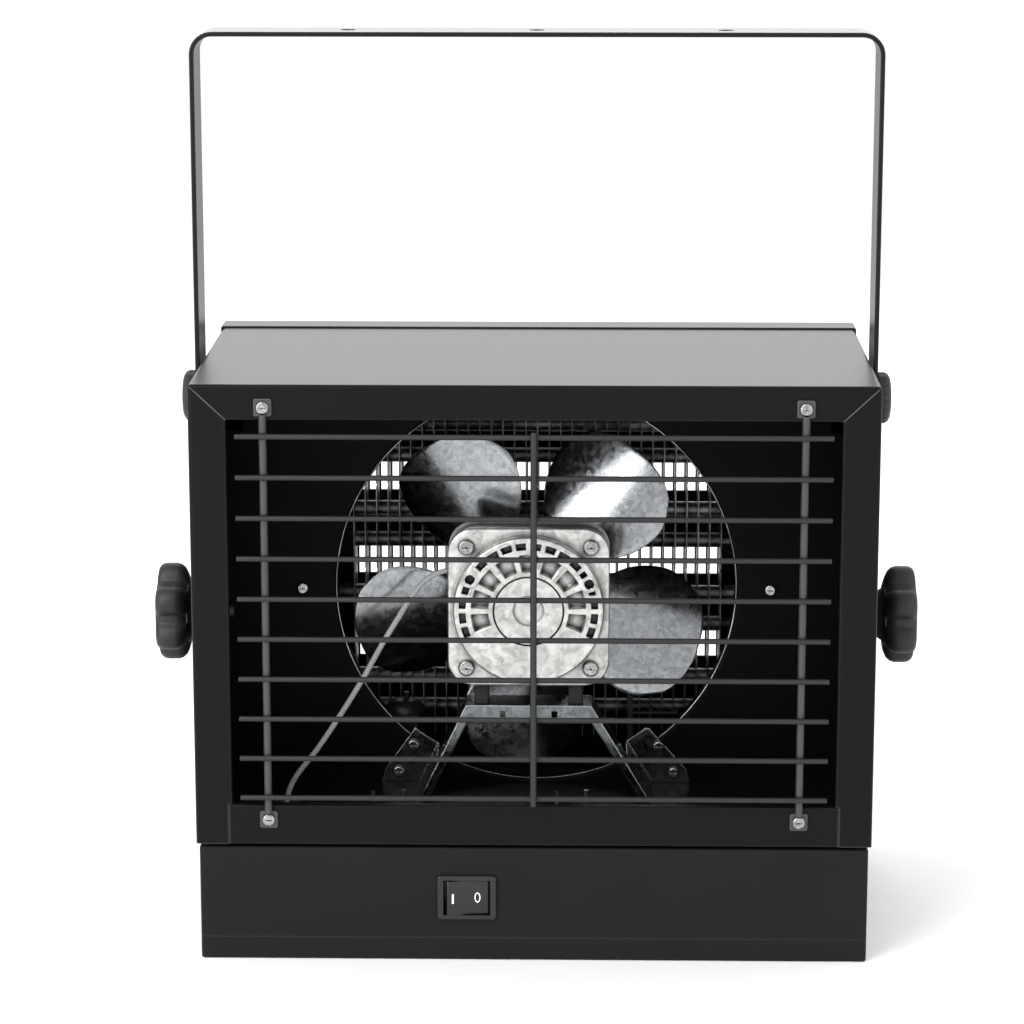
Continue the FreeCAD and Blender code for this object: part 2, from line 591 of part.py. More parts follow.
# ---- motor -------------------------------------------------------------------
def motor_square(y0, y1, side):
    """Rounded square slab centred on the motor's axis."""
    h = side / 2
    return rounded_box(MOTOR_X - h, MOTOR_X + h, y0, y1, AXIS_Z - h, AXIS_Z + h, MOTOR_CORNER, Y_AXIS)


def on_axis(radius, y0, y1):
    """Cylinder on the motor's axis."""
    return rod((MOTOR_X, y0, AXIS_Z), Y_AXIS, radius, y1 - y0)


def corner_places():
    """Motor through-bolt positions in X and Z."""
    return [(MOTOR_X + sx * CORNER_SCREW, AXIS_Z + sz * CORNER_SCREW) for sx in (-1, 1) for sz in (-1, 1)]


def ring_pockets(count, r0, r1, half_deg, y0, y1, start=0.0, skip=None):
    """Wedge pockets between two radii; skip leaves out a span of degrees."""
    pockets = []
    for i in range(count):
        mid = start + 360.0 * i / count
        if skip and skip[0] < mid % 360 < skip[1]:
            continue
        a0 = math.radians(mid - half_deg)
        a1 = math.radians(mid + half_deg)
        corners = [(r0, a0), (r1, a0), (r1, a1), (r0, a1)]
        points = [(MOTOR_X + r * math.cos(a), AXIS_Z + r * math.sin(a)) for r, a in corners]
        pockets.append(prism_y(points, y0, y1))
    return pockets


def motor_front_shield():
    """Die-cast front end shield: square flange, round ribbed face, bearing cup."""
    flange = motor_square(SHIELD_FLANGE_Y, CORE_Y0, MOTOR_SIDE)
    rim = [e for e in flange.Edges if e.BoundBox.YMax < SHIELD_FLANGE_Y + 0.01]
    flange = flange.makeFillet(1.2, rim)
    face = on_axis(SHIELD_R, MOTOR_FRONT_Y, SHIELD_FLANGE_Y + 0.5)
    face = face.makeFillet(1.6, [e for e in face.Edges if e.BoundBox.YMax < MOTOR_FRONT_Y + 0.01])
    shield = join(flange, [face])
    front = MOTOR_FRONT_Y
    shield = shield.cut(on_axis(CAVITY_R, SHIELD_FLANGE_Y - 1, CORE_Y0 + 1))
    outer = ring_pockets(28, SHIELD_R - 7, SHIELD_R - 3, 4.6, front - 1, front + 2.2, 6.4, (200, 340))
    inner = ring_pockets(14, SHIELD_R - 19, SHIELD_R - 9.5, 9.6, front - 1, front + 3.0, 12.8, (215, 325))
    shield = shield.cut(outer).cut(inner)
    groove = on_axis(SHIELD_R - 21.3, front - 1, front + 1.0)
    groove = groove.cut(on_axis(SHIELD_R - 22.1, front - 1, front + 1))
    cup = on_axis(8.6, front - 1, front + 1.6)
    shield = shield.cut([groove, cup])
    bosses = []
    for angle in (151, 25):
        a = math.radians(angle)
        r = SHIELD_R - 4.7
        bosses.append((MOTOR_X + r * math.cos(a), MOTOR_FRONT_Y, AXIS_Z + r * math.sin(a)))
    shield = join(shield, [rod(p, Y_AXIS, 5.0, 6) for p in bosses])
    shield = shield.cut([rod((p[0], p[1] - 1, p[2]), Y_AXIS, 2.4, 5) for p in bosses])
    seat = on_axis(BEARING_R, MOTOR_FRONT_Y + 2, CORE_Y0 + 1)
    bolts = [rod((x, SHIELD_FLANGE_Y - 1, z), Y_AXIS, BOLT_M4_R + THREAD, 8) for x, z in corner_places()]
    hub = on_axis(11, SHIELD_FLANGE_Y - 1, CORE_Y0 - 1.5)
    return join(shield, [hub]).cut([seat] + bolts)


def motor_rear_shield():
    """Rear end shield with the second bearing seat."""
    flange = motor_square(CORE_Y1, CORE_BACK, MOTOR_SIDE)
    dome = on_axis(DOME_R, CORE_Y1, REAR_SHIELD_Y)
    dome = dome.makeFillet(3.0, [e for e in dome.Edges if e.BoundBox.YMin > REAR_SHIELD_Y - 0.01])
    shield = join(flange, [dome, on_axis(11, REAR_SHIELD_Y - 1, REAR_SHIELD_Y + 2)])
    shield = shield.cut(on_axis(DOME_R - 3, CORE_Y1 - 1, REAR_SHIELD_Y - 2))
    shield = join(shield, [on_axis(11, REAR_SHIELD_Y - 5, REAR_SHIELD_Y + 2)])
    vents = ring_pockets(8, 15, DOME_R - 7, 13, REAR_SHIELD_Y - 3, REAR_SHIELD_Y + 1)
    bolts = [rod((x, CORE_Y1 - 1, z), Y_AXIS, BOLT_M4_R + THREAD, 5) for x, z in corner_places()]
    seat = on_axis(BEARING_R, REAR_SHIELD_Y - 6, REAR_SHIELD_Y + 3)
    return shield.cut(vents + bolts + [seat])


def bearing(y0, y1):
    """Sintered sleeve bearing round the shaft."""
    return on_axis(BEARING_R, y0, y1).cut(on_axis(SHAFT_R + RUN, y0 - 1, y1 + 1))


def stator_core():
    """Stack of laminations with four pole slots round the rotor."""
    core = motor_square(CORE_Y0, CORE_Y1, MOTOR_SIDE - 3)
    bore = on_axis(BORE_R, CORE_Y0 - 1, CORE_Y1 + 1)
    windows = []
    for i in range(4):
        out = MOTOR_X + WINDOW_OUT
        slot = box(MOTOR_X + BORE_R - 4, out, CORE_Y0 - 1, CORE_Y1 + 1, AXIS_Z - 4, AXIS_Z + 4)
        end = box(out - WINDOW_T, out, CORE_Y0 - 1, CORE_Y1 + 1, AXIS_Z - WINDOW_HALF, AXIS_Z + WINDOW_HALF)
        window = slot.fuse(end)
        window.rotate(V(MOTOR_X, 0, AXIS_Z), Y_AXIS, 90 * i)
        windows.append(window)
    bolts = [rod((x, CORE_Y0 - 1, z), Y_AXIS, BOLT_M4_R + THREAD, CORE_Y1 - CORE_Y0 + 2)
             for x, z in corner_places()]
    return core.cut([bore] + windows + bolts)


def stator_coils():
    """Enamelled windings lying in the four windows of the core."""
    coils = []
    for i in range(4):
        out = MOTOR_X + WINDOW_OUT - 0.6
        coil = rounded_box(out - WINDOW_T + 0.9, out, CORE_Y0 + 0.3, CORE_Y1 - 0.3,
                           AXIS_Z - WINDOW_HALF + 0.4, AXIS_Z + WINDOW_HALF - 0.4, 1.5, Y_AXIS)
        coil.rotate(V(MOTOR_X, 0, AXIS_Z), Y_AXIS, 90 * i)
        coils.append(coil)
    return Part.makeCompound(coils)


def motor_screws():
    """Four through-bolts that clamp the shields to the core."""
    out = []
    for x, z in corner_places():
        tip = CORE_BACK + 2.3
        bolt = pan_screw((x, tip, z), V(0, -1, 0), BOLT_M4_R, tip - SHIELD_FLANGE_Y, 4.3, 2.2)
        nut = tube((x, CORE_BACK, z), Y_AXIS, 3.8, BOLT_M4_R, 2.0)
        out.append(bolt.fuse(nut))
    return Part.makeCompound(out)


def motor_shaft():
    """Steel shaft through both bearings into the fan hub."""
    shaft = on_axis(SHAFT_R, MOTOR_FRONT_Y + 3, FAN_Y + 10)
    flat = box(MOTOR_X - 5, MOTOR_X + 5, FAN_Y - 6, FAN_Y + 11, AXIS_Z + SHAFT_R - 0.7, AXIS_Z + 6)
    return shaft.cut(flat)


def rotor():
    """Squirrel-cage rotor on the shaft."""
    body = on_axis(BORE_R - ROTOR_GAP, CORE_Y0 + 0.5, CORE_Y1 - 0.5)
    rings = [on_axis(BORE_R - 4, CORE_Y0 - 0.5, CORE_Y1 + 0.5)]
    grooves = ring_pockets(16, BORE_R - ROTOR_GAP - 1.0, BORE_R, 1.6, CORE_Y0, CORE_Y1)
    return join(body, rings).cut(grooves + [on_axis(SHAFT_R, CORE_Y0 - 2, CORE_Y1 + 2)])


# ---- fan ---------------------------------------------------------------------
def blade():
    """One cambered paddle blade pointing along +X from the axis."""
    tip = BLADE_TIP_R
    half = BLADE_CHORD / 2
    outline = [
        V(BLADE_ROOT_R - 6, 0, -13), V(BLADE_ROOT_R + 8, 0, -17), V(tip * 0.52, 0, -half * 0.86),
        V(tip * 0.72, 0, -half), V(tip * 0.9, 0, -half * 0.82), V(tip, 0, -half * 0.3),
        V(tip, 0, half * 0.3), V(tip * 0.9, 0, half * 0.82), V(tip * 0.72, 0, half),
        V(tip * 0.52, 0, half * 0.86), V(BLADE_ROOT_R + 8, 0, 17), V(BLADE_ROOT_R - 6, 0, 13),
    ]
    curve = Part.BSplineCurve()
    curve.interpolate(outline)
    edge = Part.Wire([curve.toShape(), Part.makeLine(outline[-1], outline[0])])
    slab = Part.Face(edge).extrude(V(0, 60, 0))
    slab.translate(V(0, -30, 0))
    centre = V(0, BLADE_CAMBER_R, 0)
    shell = Part.makeCylinder(BLADE_CAMBER_R, 120, centre, X_AXIS)
    shell = shell.cut(Part.makeCylinder(BLADE_CAMBER_R - BLADE_SHEET, 120, centre, X_AXIS))
    paddle = slab.common(shell)
    paddle.rotate(V(0, 0, 0), X_AXIS, -BLADE_PITCH)
    return paddle.common(rod((0, -40, 0), Y_AXIS, tip, 80))


def fan_wheel():
    """Stamped aluminium wheel: centre disc and five pitched blades."""
    paddles = []
    for i in range(BLADES):
        piece = blade()
        piece.rotate(V(0, 0, 0), Y_AXIS, -(BLADE_START + 360.0 * i / BLADES))
        piece.translate(V(MOTOR_X, FAN_Y, AXIS_Z))
        paddles.append(piece)
    disc = on_axis(30, FAN_Y - 0.4, FAN_Y + 1.2)
    wheel = join(disc, paddles)
    return wheel.cut(on_axis(HUB_R, FAN_Y - 20, FAN_Y + 20))


def fan_hub():
    """Turned hub riveted through the wheel's disc."""
    barrel = on_axis(HUB_R, FAN_Y - 5, FAN_Y + 8)
    flange = on_axis(15, FAN_Y + 1.2, FAN_Y + 3.4)
    hub = join(barrel, [flange])
    screw_hole = rod((MOTOR_X, FAN_Y + 5.6, AXIS_Z), Z_AXIS, 1.75 + THREAD, 12)
    return hub.cut([on_axis(SHAFT_R, FAN_Y - 6, FAN_Y + 9), screw_hole])


def fan_set_screw():
    """Socket screw that clamps the hub to the shaft's flat."""
    start = AXIS_Z + SHAFT_R - 0.6
    screw = rod((MOTOR_X, FAN_Y + 5.6, start), Z_AXIS, 1.75, 6.0)
    return screw.cut(rod((MOTOR_X, FAN_Y + 5.6, start + 4.4), Z_AXIS, 0.9, 3))


# ---- heating elements --------------------------------------------------------
def heating_element():
    """Finned U-tube element about its own centre height."""
    legs = [rod((TUBE_LEFT, ELEMENT_Y, s * TUBE_GAP / 2), X_AXIS, TUBE_R, TUBE_RIGHT - TUBE_LEFT)
            for s in (-1, 1)]
    bend = Part.makeTorus(TUBE_GAP / 2, TUBE_R, V(TUBE_LEFT, ELEMENT_Y, 0), Y_AXIS)
    bend = bend.common(box(TUBE_LEFT - 20, TUBE_LEFT, ELEMENT_Y - 6, ELEMENT_Y + 6, -20, 20))
    pins = [rod((TUBE_RIGHT, ELEMENT_Y, s * TUBE_GAP / 2), X_AXIS, TERMINAL_R, TERMINAL_LEN) for s in (-1, 1)]
    fins = []
    for i in range(FINS):
        x = (i - (FINS - 1) / 2) * FIN_PITCH
        fins.append(box(x - FIN_T / 2, x + FIN_T / 2, ELEMENT_Y - FIN_DEEP / 2, ELEMENT_Y + FIN_DEEP / 2,
                        -FIN_TALL / 2, FIN_TALL / 2))
    return legs[0].fuse([legs[1], bend] + pins + fins)


def element_centres():
    """Heights of the elements' middles."""
    return [TOP - ELEMENT_DROP - i * ELEMENT_PITCH for i in range(ELEMENTS)]


def element_bracket(x, tab_side):
    """Upright channel that carries the element tubes, tabbed to the bulkhead."""
    low = FLOOR_TOP
    high = TOP - ELEMENT_DROP + FIN_TALL / 2
    front = ORIFICE_Y + 1.0
    web = box(x - 0.6, x + 0.6, ELEMENT_Y - 14, ELEMENT_Y + 14, low, high)
    arm = box(x - 0.6, x + 0.6, front, ELEMENT_Y - 13, AXIS_Z - 12, AXIS_Z + 9)
    tab = box(min(x, x + tab_side * 16), max(x, x + tab_side * 16), front, front + 1.2,
              AXIS_Z - 12, AXIS_Z + 9)
    foot = box(min(x, x + tab_side * 12), max(x, x + tab_side * 12), ELEMENT_Y - 14, ELEMENT_Y + 14,
               low, low + 1.2)
    frame = join(web, [arm, tab, foot])
    holes = []
    for z in element_centres():
        holes += [rod((x - 3, ELEMENT_Y, z + s * TUBE_GAP / 2), X_AXIS, TUBE_R, 6) for s in (-1, 1)]
        if tab_side < 0:
            holes.append(box(x - 3, x + 3, ELEMENT_Y - TUBE_R, ELEMENT_Y + TUBE_R,
                             z - TUBE_GAP / 2, z + TUBE_GAP / 2))
    holes.append(rod((x + tab_side * 9, front - 1, AXIS_Z - 1.5), Y_AXIS, SCREW_R + THREAD, 4))
    return frame.cut(holes)


def element_links():
    """Flat straps that join the element terminals in series."""
    links = []
    centres = element_centres()
    x = TUBE_RIGHT + 6
    for upper, lower in zip(centres, centres[1:]):
        z0 = lower + TUBE_GAP / 2
        z1 = upper - TUBE_GAP / 2
        bar = rounded_box(x, x + 1.2, ELEMENT_Y - 4, ELEMENT_Y + 4, z0 - 4, z1 + 4, 2.5, X_AXIS)
        holes = [rod((x - 1, ELEMENT_Y, z), X_AXIS, TERMINAL_R, 4) for z in (z0, z1)]
        links.append(bar.cut(holes))
    return Part.makeCompound(links)


def supply_leads():
    """Two sleeved leads from the end terminals down through the floor."""
    centres = element_centres()
    x, y = SUPPLY_HOLE
    tip = TUBE_RIGHT + TERMINAL_LEN
    leads = []
    for z, off, far in ((centres[0] + TUBE_GAP / 2, -2.0, 14.0), (centres[-1] - TUBE_GAP / 2, 2.0, 6.0)):
        path = [(tip + 1, ELEMENT_Y, z), (tip + far, ELEMENT_Y - 2, z - 8),
                (tip + far, y + 6, (z + CASING_Z0) / 2),
                (x + off, y, CASING_Z0 + 14), (x + off, y, CASING_Z0 + 2), (x + off, y, CASING_Z0 - 10),
                (x - 10, y - 4 + off, BASE_H - 26), (x - 30, BLOCK_Y + off * 2, BLOCK_TOP - 7),
                (BLOCK_X + BLOCK_HALF_X + 12, BLOCK_Y + off * 2, BLOCK_TOP - 8),
                (BLOCK_X + BLOCK_HALF_X + APART, BLOCK_Y + off * 2, BLOCK_TOP - 8)]
        leads.append(wire_sweep(path, LEAD_R))
    return Part.makeCompound(leads)


# ---- parts on the casing floor -----------------------------------------------
def thermal_cutout():
    """Domed over-temperature cut-out with its reset post and tab."""
    x, y = CUTOUT
    z0 = CUTOUT_Z0
    body = rod((x, y, z0), Z_AXIS, 11.4, CUTOUT_TOP - z0)
    rim = [e for e in body.Edges if e.BoundBox.ZMin > CUTOUT_TOP - 0.1]
    body = body.makeFillet(7.5, rim)
    post = rod((x + 1, y, CUTOUT_TOP - 1), Z_AXIS, 1.5, 5)
    tab = box(x + 2, x + 8, y - 14.5, y - 9, z0 + 3, z0 + 9)
    return join(body, [post, tab])


def cutout_bracket():
    """Stepped strap that carries the cut-out above the floor."""
    x, y = CUTOUT
    z0 = CUTOUT_Z0
    shelf = box(x - 12, x + 12, y - 12, y + 12, z0 - 1.2, z0)
    leg = box(x - 9, x + 9, y + 10.8, y + 12, FLOOR_TOP, z0)
    foot = box(x - 9, x + 9, y - 4, y + 12, FLOOR_TOP, FLOOR_TOP + 1.2)
    return join(shelf, [leg, foot])


def fuse_link():
    """Thermal fuse on an upright insulated post, its tail bent sideways."""
    x, y = 53.0, 48.0
    z = CUTOUT_TOP + 4
    post = box(x - 1.5, x + 1.5, y - 1.5, y + 1.5, FLOOR_TOP, z)
    tail = rod((x, y, z - 11), X_AXIS, 1.2, 27)
    pin = rod((x + 11.5, y, z - 17), Z_AXIS, 1.0, 11)
    foot = box(x - 7, x + 7, y - 5, y + 5, FLOOR_TOP, FLOOR_TOP + 1.5)
    return join(post, [tail, pin, foot])


def floor_pins():
    """Screw tips of the base's fittings standing up through the floor."""
    return Part.makeCompound([
        pan_screw((x, y, FLOOR_TOP + 8), V(0, 0, -1), PIN_R, 8 + 2 * SHEET, 2.8, 1.6)
        for x, y in PIN_PLACES
    ])


def motor_lead():
    """Sleeved motor lead down to its hole in the floor and on to the terminals."""
    hole_x, y = LEAD_HOLE
    start_x = MOTOR_X - MOTOR_SIDE / 2 - 0.6
    start_z = AXIS_Z + 19
    path = [(start_x + (hole_x - start_x) * across, y, CASING_Z0 + (start_z - CASING_Z0) * up)
            for across, up in LEAD_DRAPE]
    path += [(hole_x, y, CASING_Z0), (hole_x + 2, y + 3, BASE_H - 12), (hole_x + 16, y + 14, BASE_H - 24),
             (-60.0, BLOCK_Y - 12, BASE_H - 32), (0.0, BLOCK_Y, BLOCK_TOP - 7),
             (BLOCK_X - BLOCK_HALF_X - 12, BLOCK_Y, BLOCK_TOP - 8),
             (BLOCK_X - BLOCK_HALF_X - APART, BLOCK_Y, BLOCK_TOP - 8)]
    return wire_sweep(path, LEAD_R)


def lead_grommets():
    """Rubber bushes in the floor where the leads pass."""
    rings = []
    for (x, y), r in lead_holes():
        profile = [(r - 1.1, -2.8), (r + 1.5, -2.8), (r + 1.5, 0.0), (r, 0.0),
                   (r, SHEET), (r + 2, SHEET), (r + 2, SHEET + 2), (r - 1.1, SHEET + 2)]
        wire = Part.makePolygon([V(x + px, y, CASING_Z0 + z) for px, z in profile + profile[:1]])
        rings.append(Part.Face(wire).revolve(V(x, y, 0), Z_AXIS, 360))
    return Part.makeCompound(rings)


# ---- control base ------------------------------------------------------------
def side_holes_at(places, half):
    """Cutters for screws through both side walls that stand at X = half."""
    cutters = [rod((half - 4, y, z), X_AXIS, SCREW_R + THREAD, 8) for y, z in places]
    return cutters + [mirrored(c) for c in cutters]


def base_box():
    """Upper shell of the control base, open at the back, with a raised pad under the casing."""
    outer = box(-BASE_HALF_W, BASE_HALF_W, BASE_FRONT, BASE_REAR, PAN_H + SEAM / 10, BASE_H)
    uprights = [e for e in outer.Edges if e.BoundBox.YMax < BASE_FRONT + 0.01 and e.BoundBox.ZLength > 1]
    outer = outer.makeFillet(BEND, uprights)
    top = [e for e in outer.Edges
           if e.BoundBox.ZMin > BASE_H - 0.01 and e.BoundBox.YMin < BASE_REAR - 0.01]
    outer = outer.makeFillet(SHEET, top)
    pad_back = REAR - COVER_FLANGE - 4
    pad = rounded_box(-BASE_HALF_W + 10, BASE_HALF_W - 10, BASE_FRONT + 8, pad_back,
                      BASE_H - 1, CASING_Z0, 6, Z_AXIS)
    inner = box(-BASE_HALF_W + SHEET, BASE_HALF_W - SHEET, BASE_FRONT + SHEET, BASE_REAR + 1,
                -1, BASE_H - SHEET)
    pad_inner = box(-BASE_HALF_W + 12, BASE_HALF_W - 12, BASE_FRONT + 10, pad_back - 2, 0, CASING_Z0 - SHEET)
    switch = box(SWITCH_X - SWITCH_CUT_X, SWITCH_X + SWITCH_CUT_X, BASE_FRONT - 1, BASE_FRONT + 3,
                 SWITCH_Z - SWITCH_CUT_Z, SWITCH_Z + SWITCH_CUT_Z)
    holes = [rod((x, y, BASE_H - 3), Z_AXIS, PIN_R + THREAD, 8) for x, y in PIN_PLACES]
    holes += [rod((x, y, BASE_H - 3), Z_AXIS, BOLT_M4_R + THREAD, 8) for x, y in BASE_BOLTS]
    holes += [rod((x, y, BASE_H - 3), Z_AXIS, r + 3, 8) for (x, y), r in lead_holes()]
    holes += side_holes_at(SIDE_SCREWS + BACK_SCREWS, BASE_HALF_W)
    return outer.fuse(pad).cut([inner, pad_inner, switch] + holes).removeSplitter()


def base_back():
    """Flanged plate that closes the back of the control base."""
    half = BASE_HALF_W - SHEET - SLIP
    low = PAN_H + SEAM / 10
    high = BASE_H - SHEET - SLIP
    plate = box(-half, half, BASE_REAR - SHEET, BASE_REAR, low, high)
    flange = box(half - SHEET, half, BASE_REAR - 12, BASE_REAR, PAN_TUCK + 1, high)
    gland = rod((GLAND_X, BASE_REAR - 4, GLAND_Z), Y_AXIS, GLAND_STEM_R + THREAD, 8)
    return join(plate, [flange, mirrored(flange)]).cut([gland] + side_holes_at(BACK_SCREWS, half))


def base_pan():
    """Bottom tray of the base with an inner band the shell slips over."""
    outer = rounded_box(-BASE_HALF_W, BASE_HALF_W, BASE_FRONT, BASE_REAR, 0, PAN_H, BEND, Z_AXIS)
    outer = outer.makeFillet(1.0, [e for e in outer.Edges if e.BoundBox.ZMax < 0.01])
    inset = SHEET + SLIP
    band = box(-BASE_HALF_W + inset, BASE_HALF_W - inset, BASE_FRONT + inset, BASE_REAR - inset,
               SHEET, PAN_TUCK)
    wall = inset + 1.0
    inner = box(-BASE_HALF_W + wall, BASE_HALF_W - wall, BASE_FRONT + wall, BASE_REAR - wall,
                SHEET, PAN_TUCK + 1)
    return outer.fuse(band).cut([inner] + side_holes_at(SIDE_SCREWS, BASE_HALF_W - inset))


def base_screws():
    """Side screws of the base and the bolts that join it to the casing."""
    out = []
    for y, z in SIDE_SCREWS + BACK_SCREWS:
        screw = pan_screw((BASE_HALF_W - 7, y, z), X_AXIS, SCREW_R, 7, 3.2, 1.8)
        out += [screw, mirrored(screw)]
    for x, y in BASE_BOLTS:
        bolt = pan_screw((x, y, FLOOR_TOP + 5), V(0, 0, -1), BOLT_M4_R, 5 + 2 * SHEET, 3.6, 2.2)
        nut = tube((x, y, FLOOR_TOP), Z_AXIS, 3.8, BOLT_M4_R, 3.0)
        out.append(bolt.fuse(nut))
    return Part.makeCompound(out)


# ---- rocker switch -----------------------------------------------------------
def switch_frame():
    """Switch housing: bezel on the panel and a hollow body behind it."""
    x, z = SWITCH_X, SWITCH_Z
    bezel = rounded_box(x - SWITCH_W / 2, x + SWITCH_W / 2, BASE_FRONT - 2, BASE_FRONT,
                        z - SWITCH_H / 2, z + SWITCH_H / 2, 1.8, Y_AXIS)
    bezel = bezel.makeFillet(0.8, [e for e in bezel.Edges if e.BoundBox.YMax < BASE_FRONT - 1.99])
    body = box(x - SWITCH_CUT_X + SLIP, x + SWITCH_CUT_X - SLIP, BASE_FRONT, BASE_FRONT + SWITCH_DEEP,
               z - SWITCH_CUT_Z + SLIP, z + SWITCH_CUT_Z - SLIP)
    frame = join(bezel, [body]).cut(switch_terminals())
    hollow = box(x - SWITCH_OPEN_W / 2, x + SWITCH_OPEN_W / 2, BASE_FRONT - 3, BASE_FRONT + 14,
                 z - SWITCH_OPEN_H / 2, z + SWITCH_OPEN_H / 2)
    sockets = ROCKER_PINS + 0.4
    pins = rod((x, PIVOT_Y, z - sockets / 2), Z_AXIS, ROCKER_PIN_R + RUN, sockets)
    return frame.cut([hollow, pins])


def rocker():
    """Two-position rocker, its right end pressed in."""
    half = ROCKER_HALF
    points = [(-half, -5.5), (0, -4.2), (half, -5.5), (half, -1.0), (7, 3), (2.4, 8),
              (-2.4, 8), (-7, 3), (-half, -1.0)]
    low = SWITCH_Z - SWITCH_OPEN_H / 2 + APART
    tall = SWITCH_OPEN_H - 2 * APART
    wire = Part.makePolygon([V(SWITCH_X + px, PIVOT_Y + py, low) for px, py in points + points[:1]])
    body = Part.Face(wire).extrude(V(0, 0, tall))
    ends = [e for e in body.Edges if e.BoundBox.YMax < PIVOT_Y - 5.0 and e.BoundBox.ZLength > 1]
    body = body.makeFillet(0.8, ends)
    pins = rod((SWITCH_X, PIVOT_Y, SWITCH_Z - ROCKER_PINS / 2), Z_AXIS, ROCKER_PIN_R, ROCKER_PINS)
    body = join(body, [pins])
    body.rotate(V(SWITCH_X, PIVOT_Y, SWITCH_Z), Z_AXIS, ROCKER_TILT)
    return body


def switch_terminals():
    """Four tinned spade terminals on the back of the switch."""
    y0 = BASE_FRONT + SWITCH_DEEP
    tabs = [box(SWITCH_X + sx * 7 - 0.4, SWITCH_X + sx * 7 + 0.4, y0 - 3, y0 + 9, SWITCH_Z + sz * 5 - 3.1,
                SWITCH_Z + sz * 5 + 3.1) for sx in (-1, 1) for sz in (-1, 1)]
    return Part.makeCompound(tabs)


# ---- wiring inside the base --------------------------------------------------
def terminal_block():
    """Moulded terminal block with a way for each lead."""
    top = BLOCK_TOP
    block = rounded_box(BLOCK_X - BLOCK_HALF_X, BLOCK_X + BLOCK_HALF_X, BLOCK_Y - BLOCK_HALF_Y,
                        BLOCK_Y + BLOCK_HALF_Y, SHEET, top, 2, Z_AXIS)
    ways = [box(BLOCK_X - 16 + i * 11 - 4, BLOCK_X - 16 + i * 11 + 4, BLOCK_Y - 9, BLOCK_Y + 9,
                top - 5, top + 1) for i in range(4)]
    return block.cut(ways)


def terminal_screws():
    """Brass clamp screws in the terminal block."""
    top = BLOCK_TOP
    places = [(BLOCK_X - 16 + i * 11, BLOCK_Y + s * 5, top - 5) for i in range(4) for s in (-1, 1)]
    return Part.makeCompound([
        rod(p, Z_AXIS, 2.6, 3.4).cut(box(p[0] - 3, p[0] + 3, p[1] - 0.4, p[1] + 0.4, p[2] + 2.4, p[2] + 5))
        for p in places
    ])


def cable_gland():
    """Strain-relief bush for the supply cord: flange, thread and domed cap."""
    x, y, z = GLAND_X, BASE_REAR, GLAND_Z
    stem = rod((x, y - 12, z), Y_AXIS, GLAND_STEM_R, 12)
    flange = hex_prism((x, y, z), 11.0, 4.0)
    cap = Part.makeCone(10.0, 8.0, 8.0, V(x, y + 4, z), Y_AXIS)
    gland = join(stem, [flange, cap])
    return gland.cut(rod((x, y - 13, z), Y_AXIS, GLAND_BORE_R, 30))


def gland_nut():
    """Lock nut on the gland's thread inside the base."""
    x, y, z = GLAND_X, BASE_REAR - SHEET - 4.5, GLAND_Z
    return hex_prism((x, y, z), 10.8, 4.5).cut(rod((x, y - 1, z), Y_AXIS, GLAND_STEM_R + THREAD, 7))


def hex_prism(start, radius, length):
    """Hexagonal prism along Y; radius is across the corners."""
    x, y, z = start
    points = [(x + radius * math.cos(math.radians(60 * i)), z + radius * math.sin(math.radians(60 * i)))
              for i in range(6)]
    return prism_y(points, y, y + length)


# ---- bracket, knobs and their hardware ---------------------------------------
def bracket():
    """U-shaped strap with three bolt holes across its top."""
    top = TOP + BRACKET_ABOVE
    half = STRAP_W / 2
    low = PIVOT_Z - 40
    outer = box(-STRAP_OUT, STRAP_OUT, -half, half, low, top)
    bends = [e for e in outer.Edges if e.BoundBox.ZMin > top - 0.1 and e.BoundBox.YLength > 1]
    outer = outer.makeFillet(STRAP_BEND, bends)
    inner = box(-STRAP_IN, STRAP_IN, -half - 1, half + 1, low - 1, top - STRAP_T)
    bends = [e for e in inner.Edges if e.BoundBox.ZMin > top - STRAP_T - 0.1 and e.BoundBox.YLength > 1]
    inner = inner.makeFillet(STRAP_BEND - STRAP_T, bends)
    strap = outer.cut(inner)
    keep = rod((-STRAP_OUT - 1, 0, PIVOT_Z), X_AXIS, half, 2 * STRAP_OUT + 2)
    keep = keep.fuse(box(-STRAP_OUT - 1, STRAP_OUT + 1, -half, half, PIVOT_Z, top + 1))
    strap = strap.common(keep).removeSplitter()
    rim = [e for e in strap.Edges if e.BoundBox.YLength < 0.01 and abs(abs(e.BoundBox.YMin) - half) < 0.01]
    strap = strap.makeFillet(STRAP_EDGE, rim)
    reach = 2 * STRAP_OUT + 2
    holes = [rod((-reach / 2, 0, PIVOT_Z), X_AXIS, STUD_R + 0.25, reach),
             rod((-reach / 2, 0, LOCK_Z), X_AXIS, LOCK_STUD_R + 0.25, reach)]
    holes += [rod((i * BOLT_SPACING, 0, top - 10), Z_AXIS, BOLT_R, 20) for i in (-1, 0, 1)]
    return strap.cut(holes)


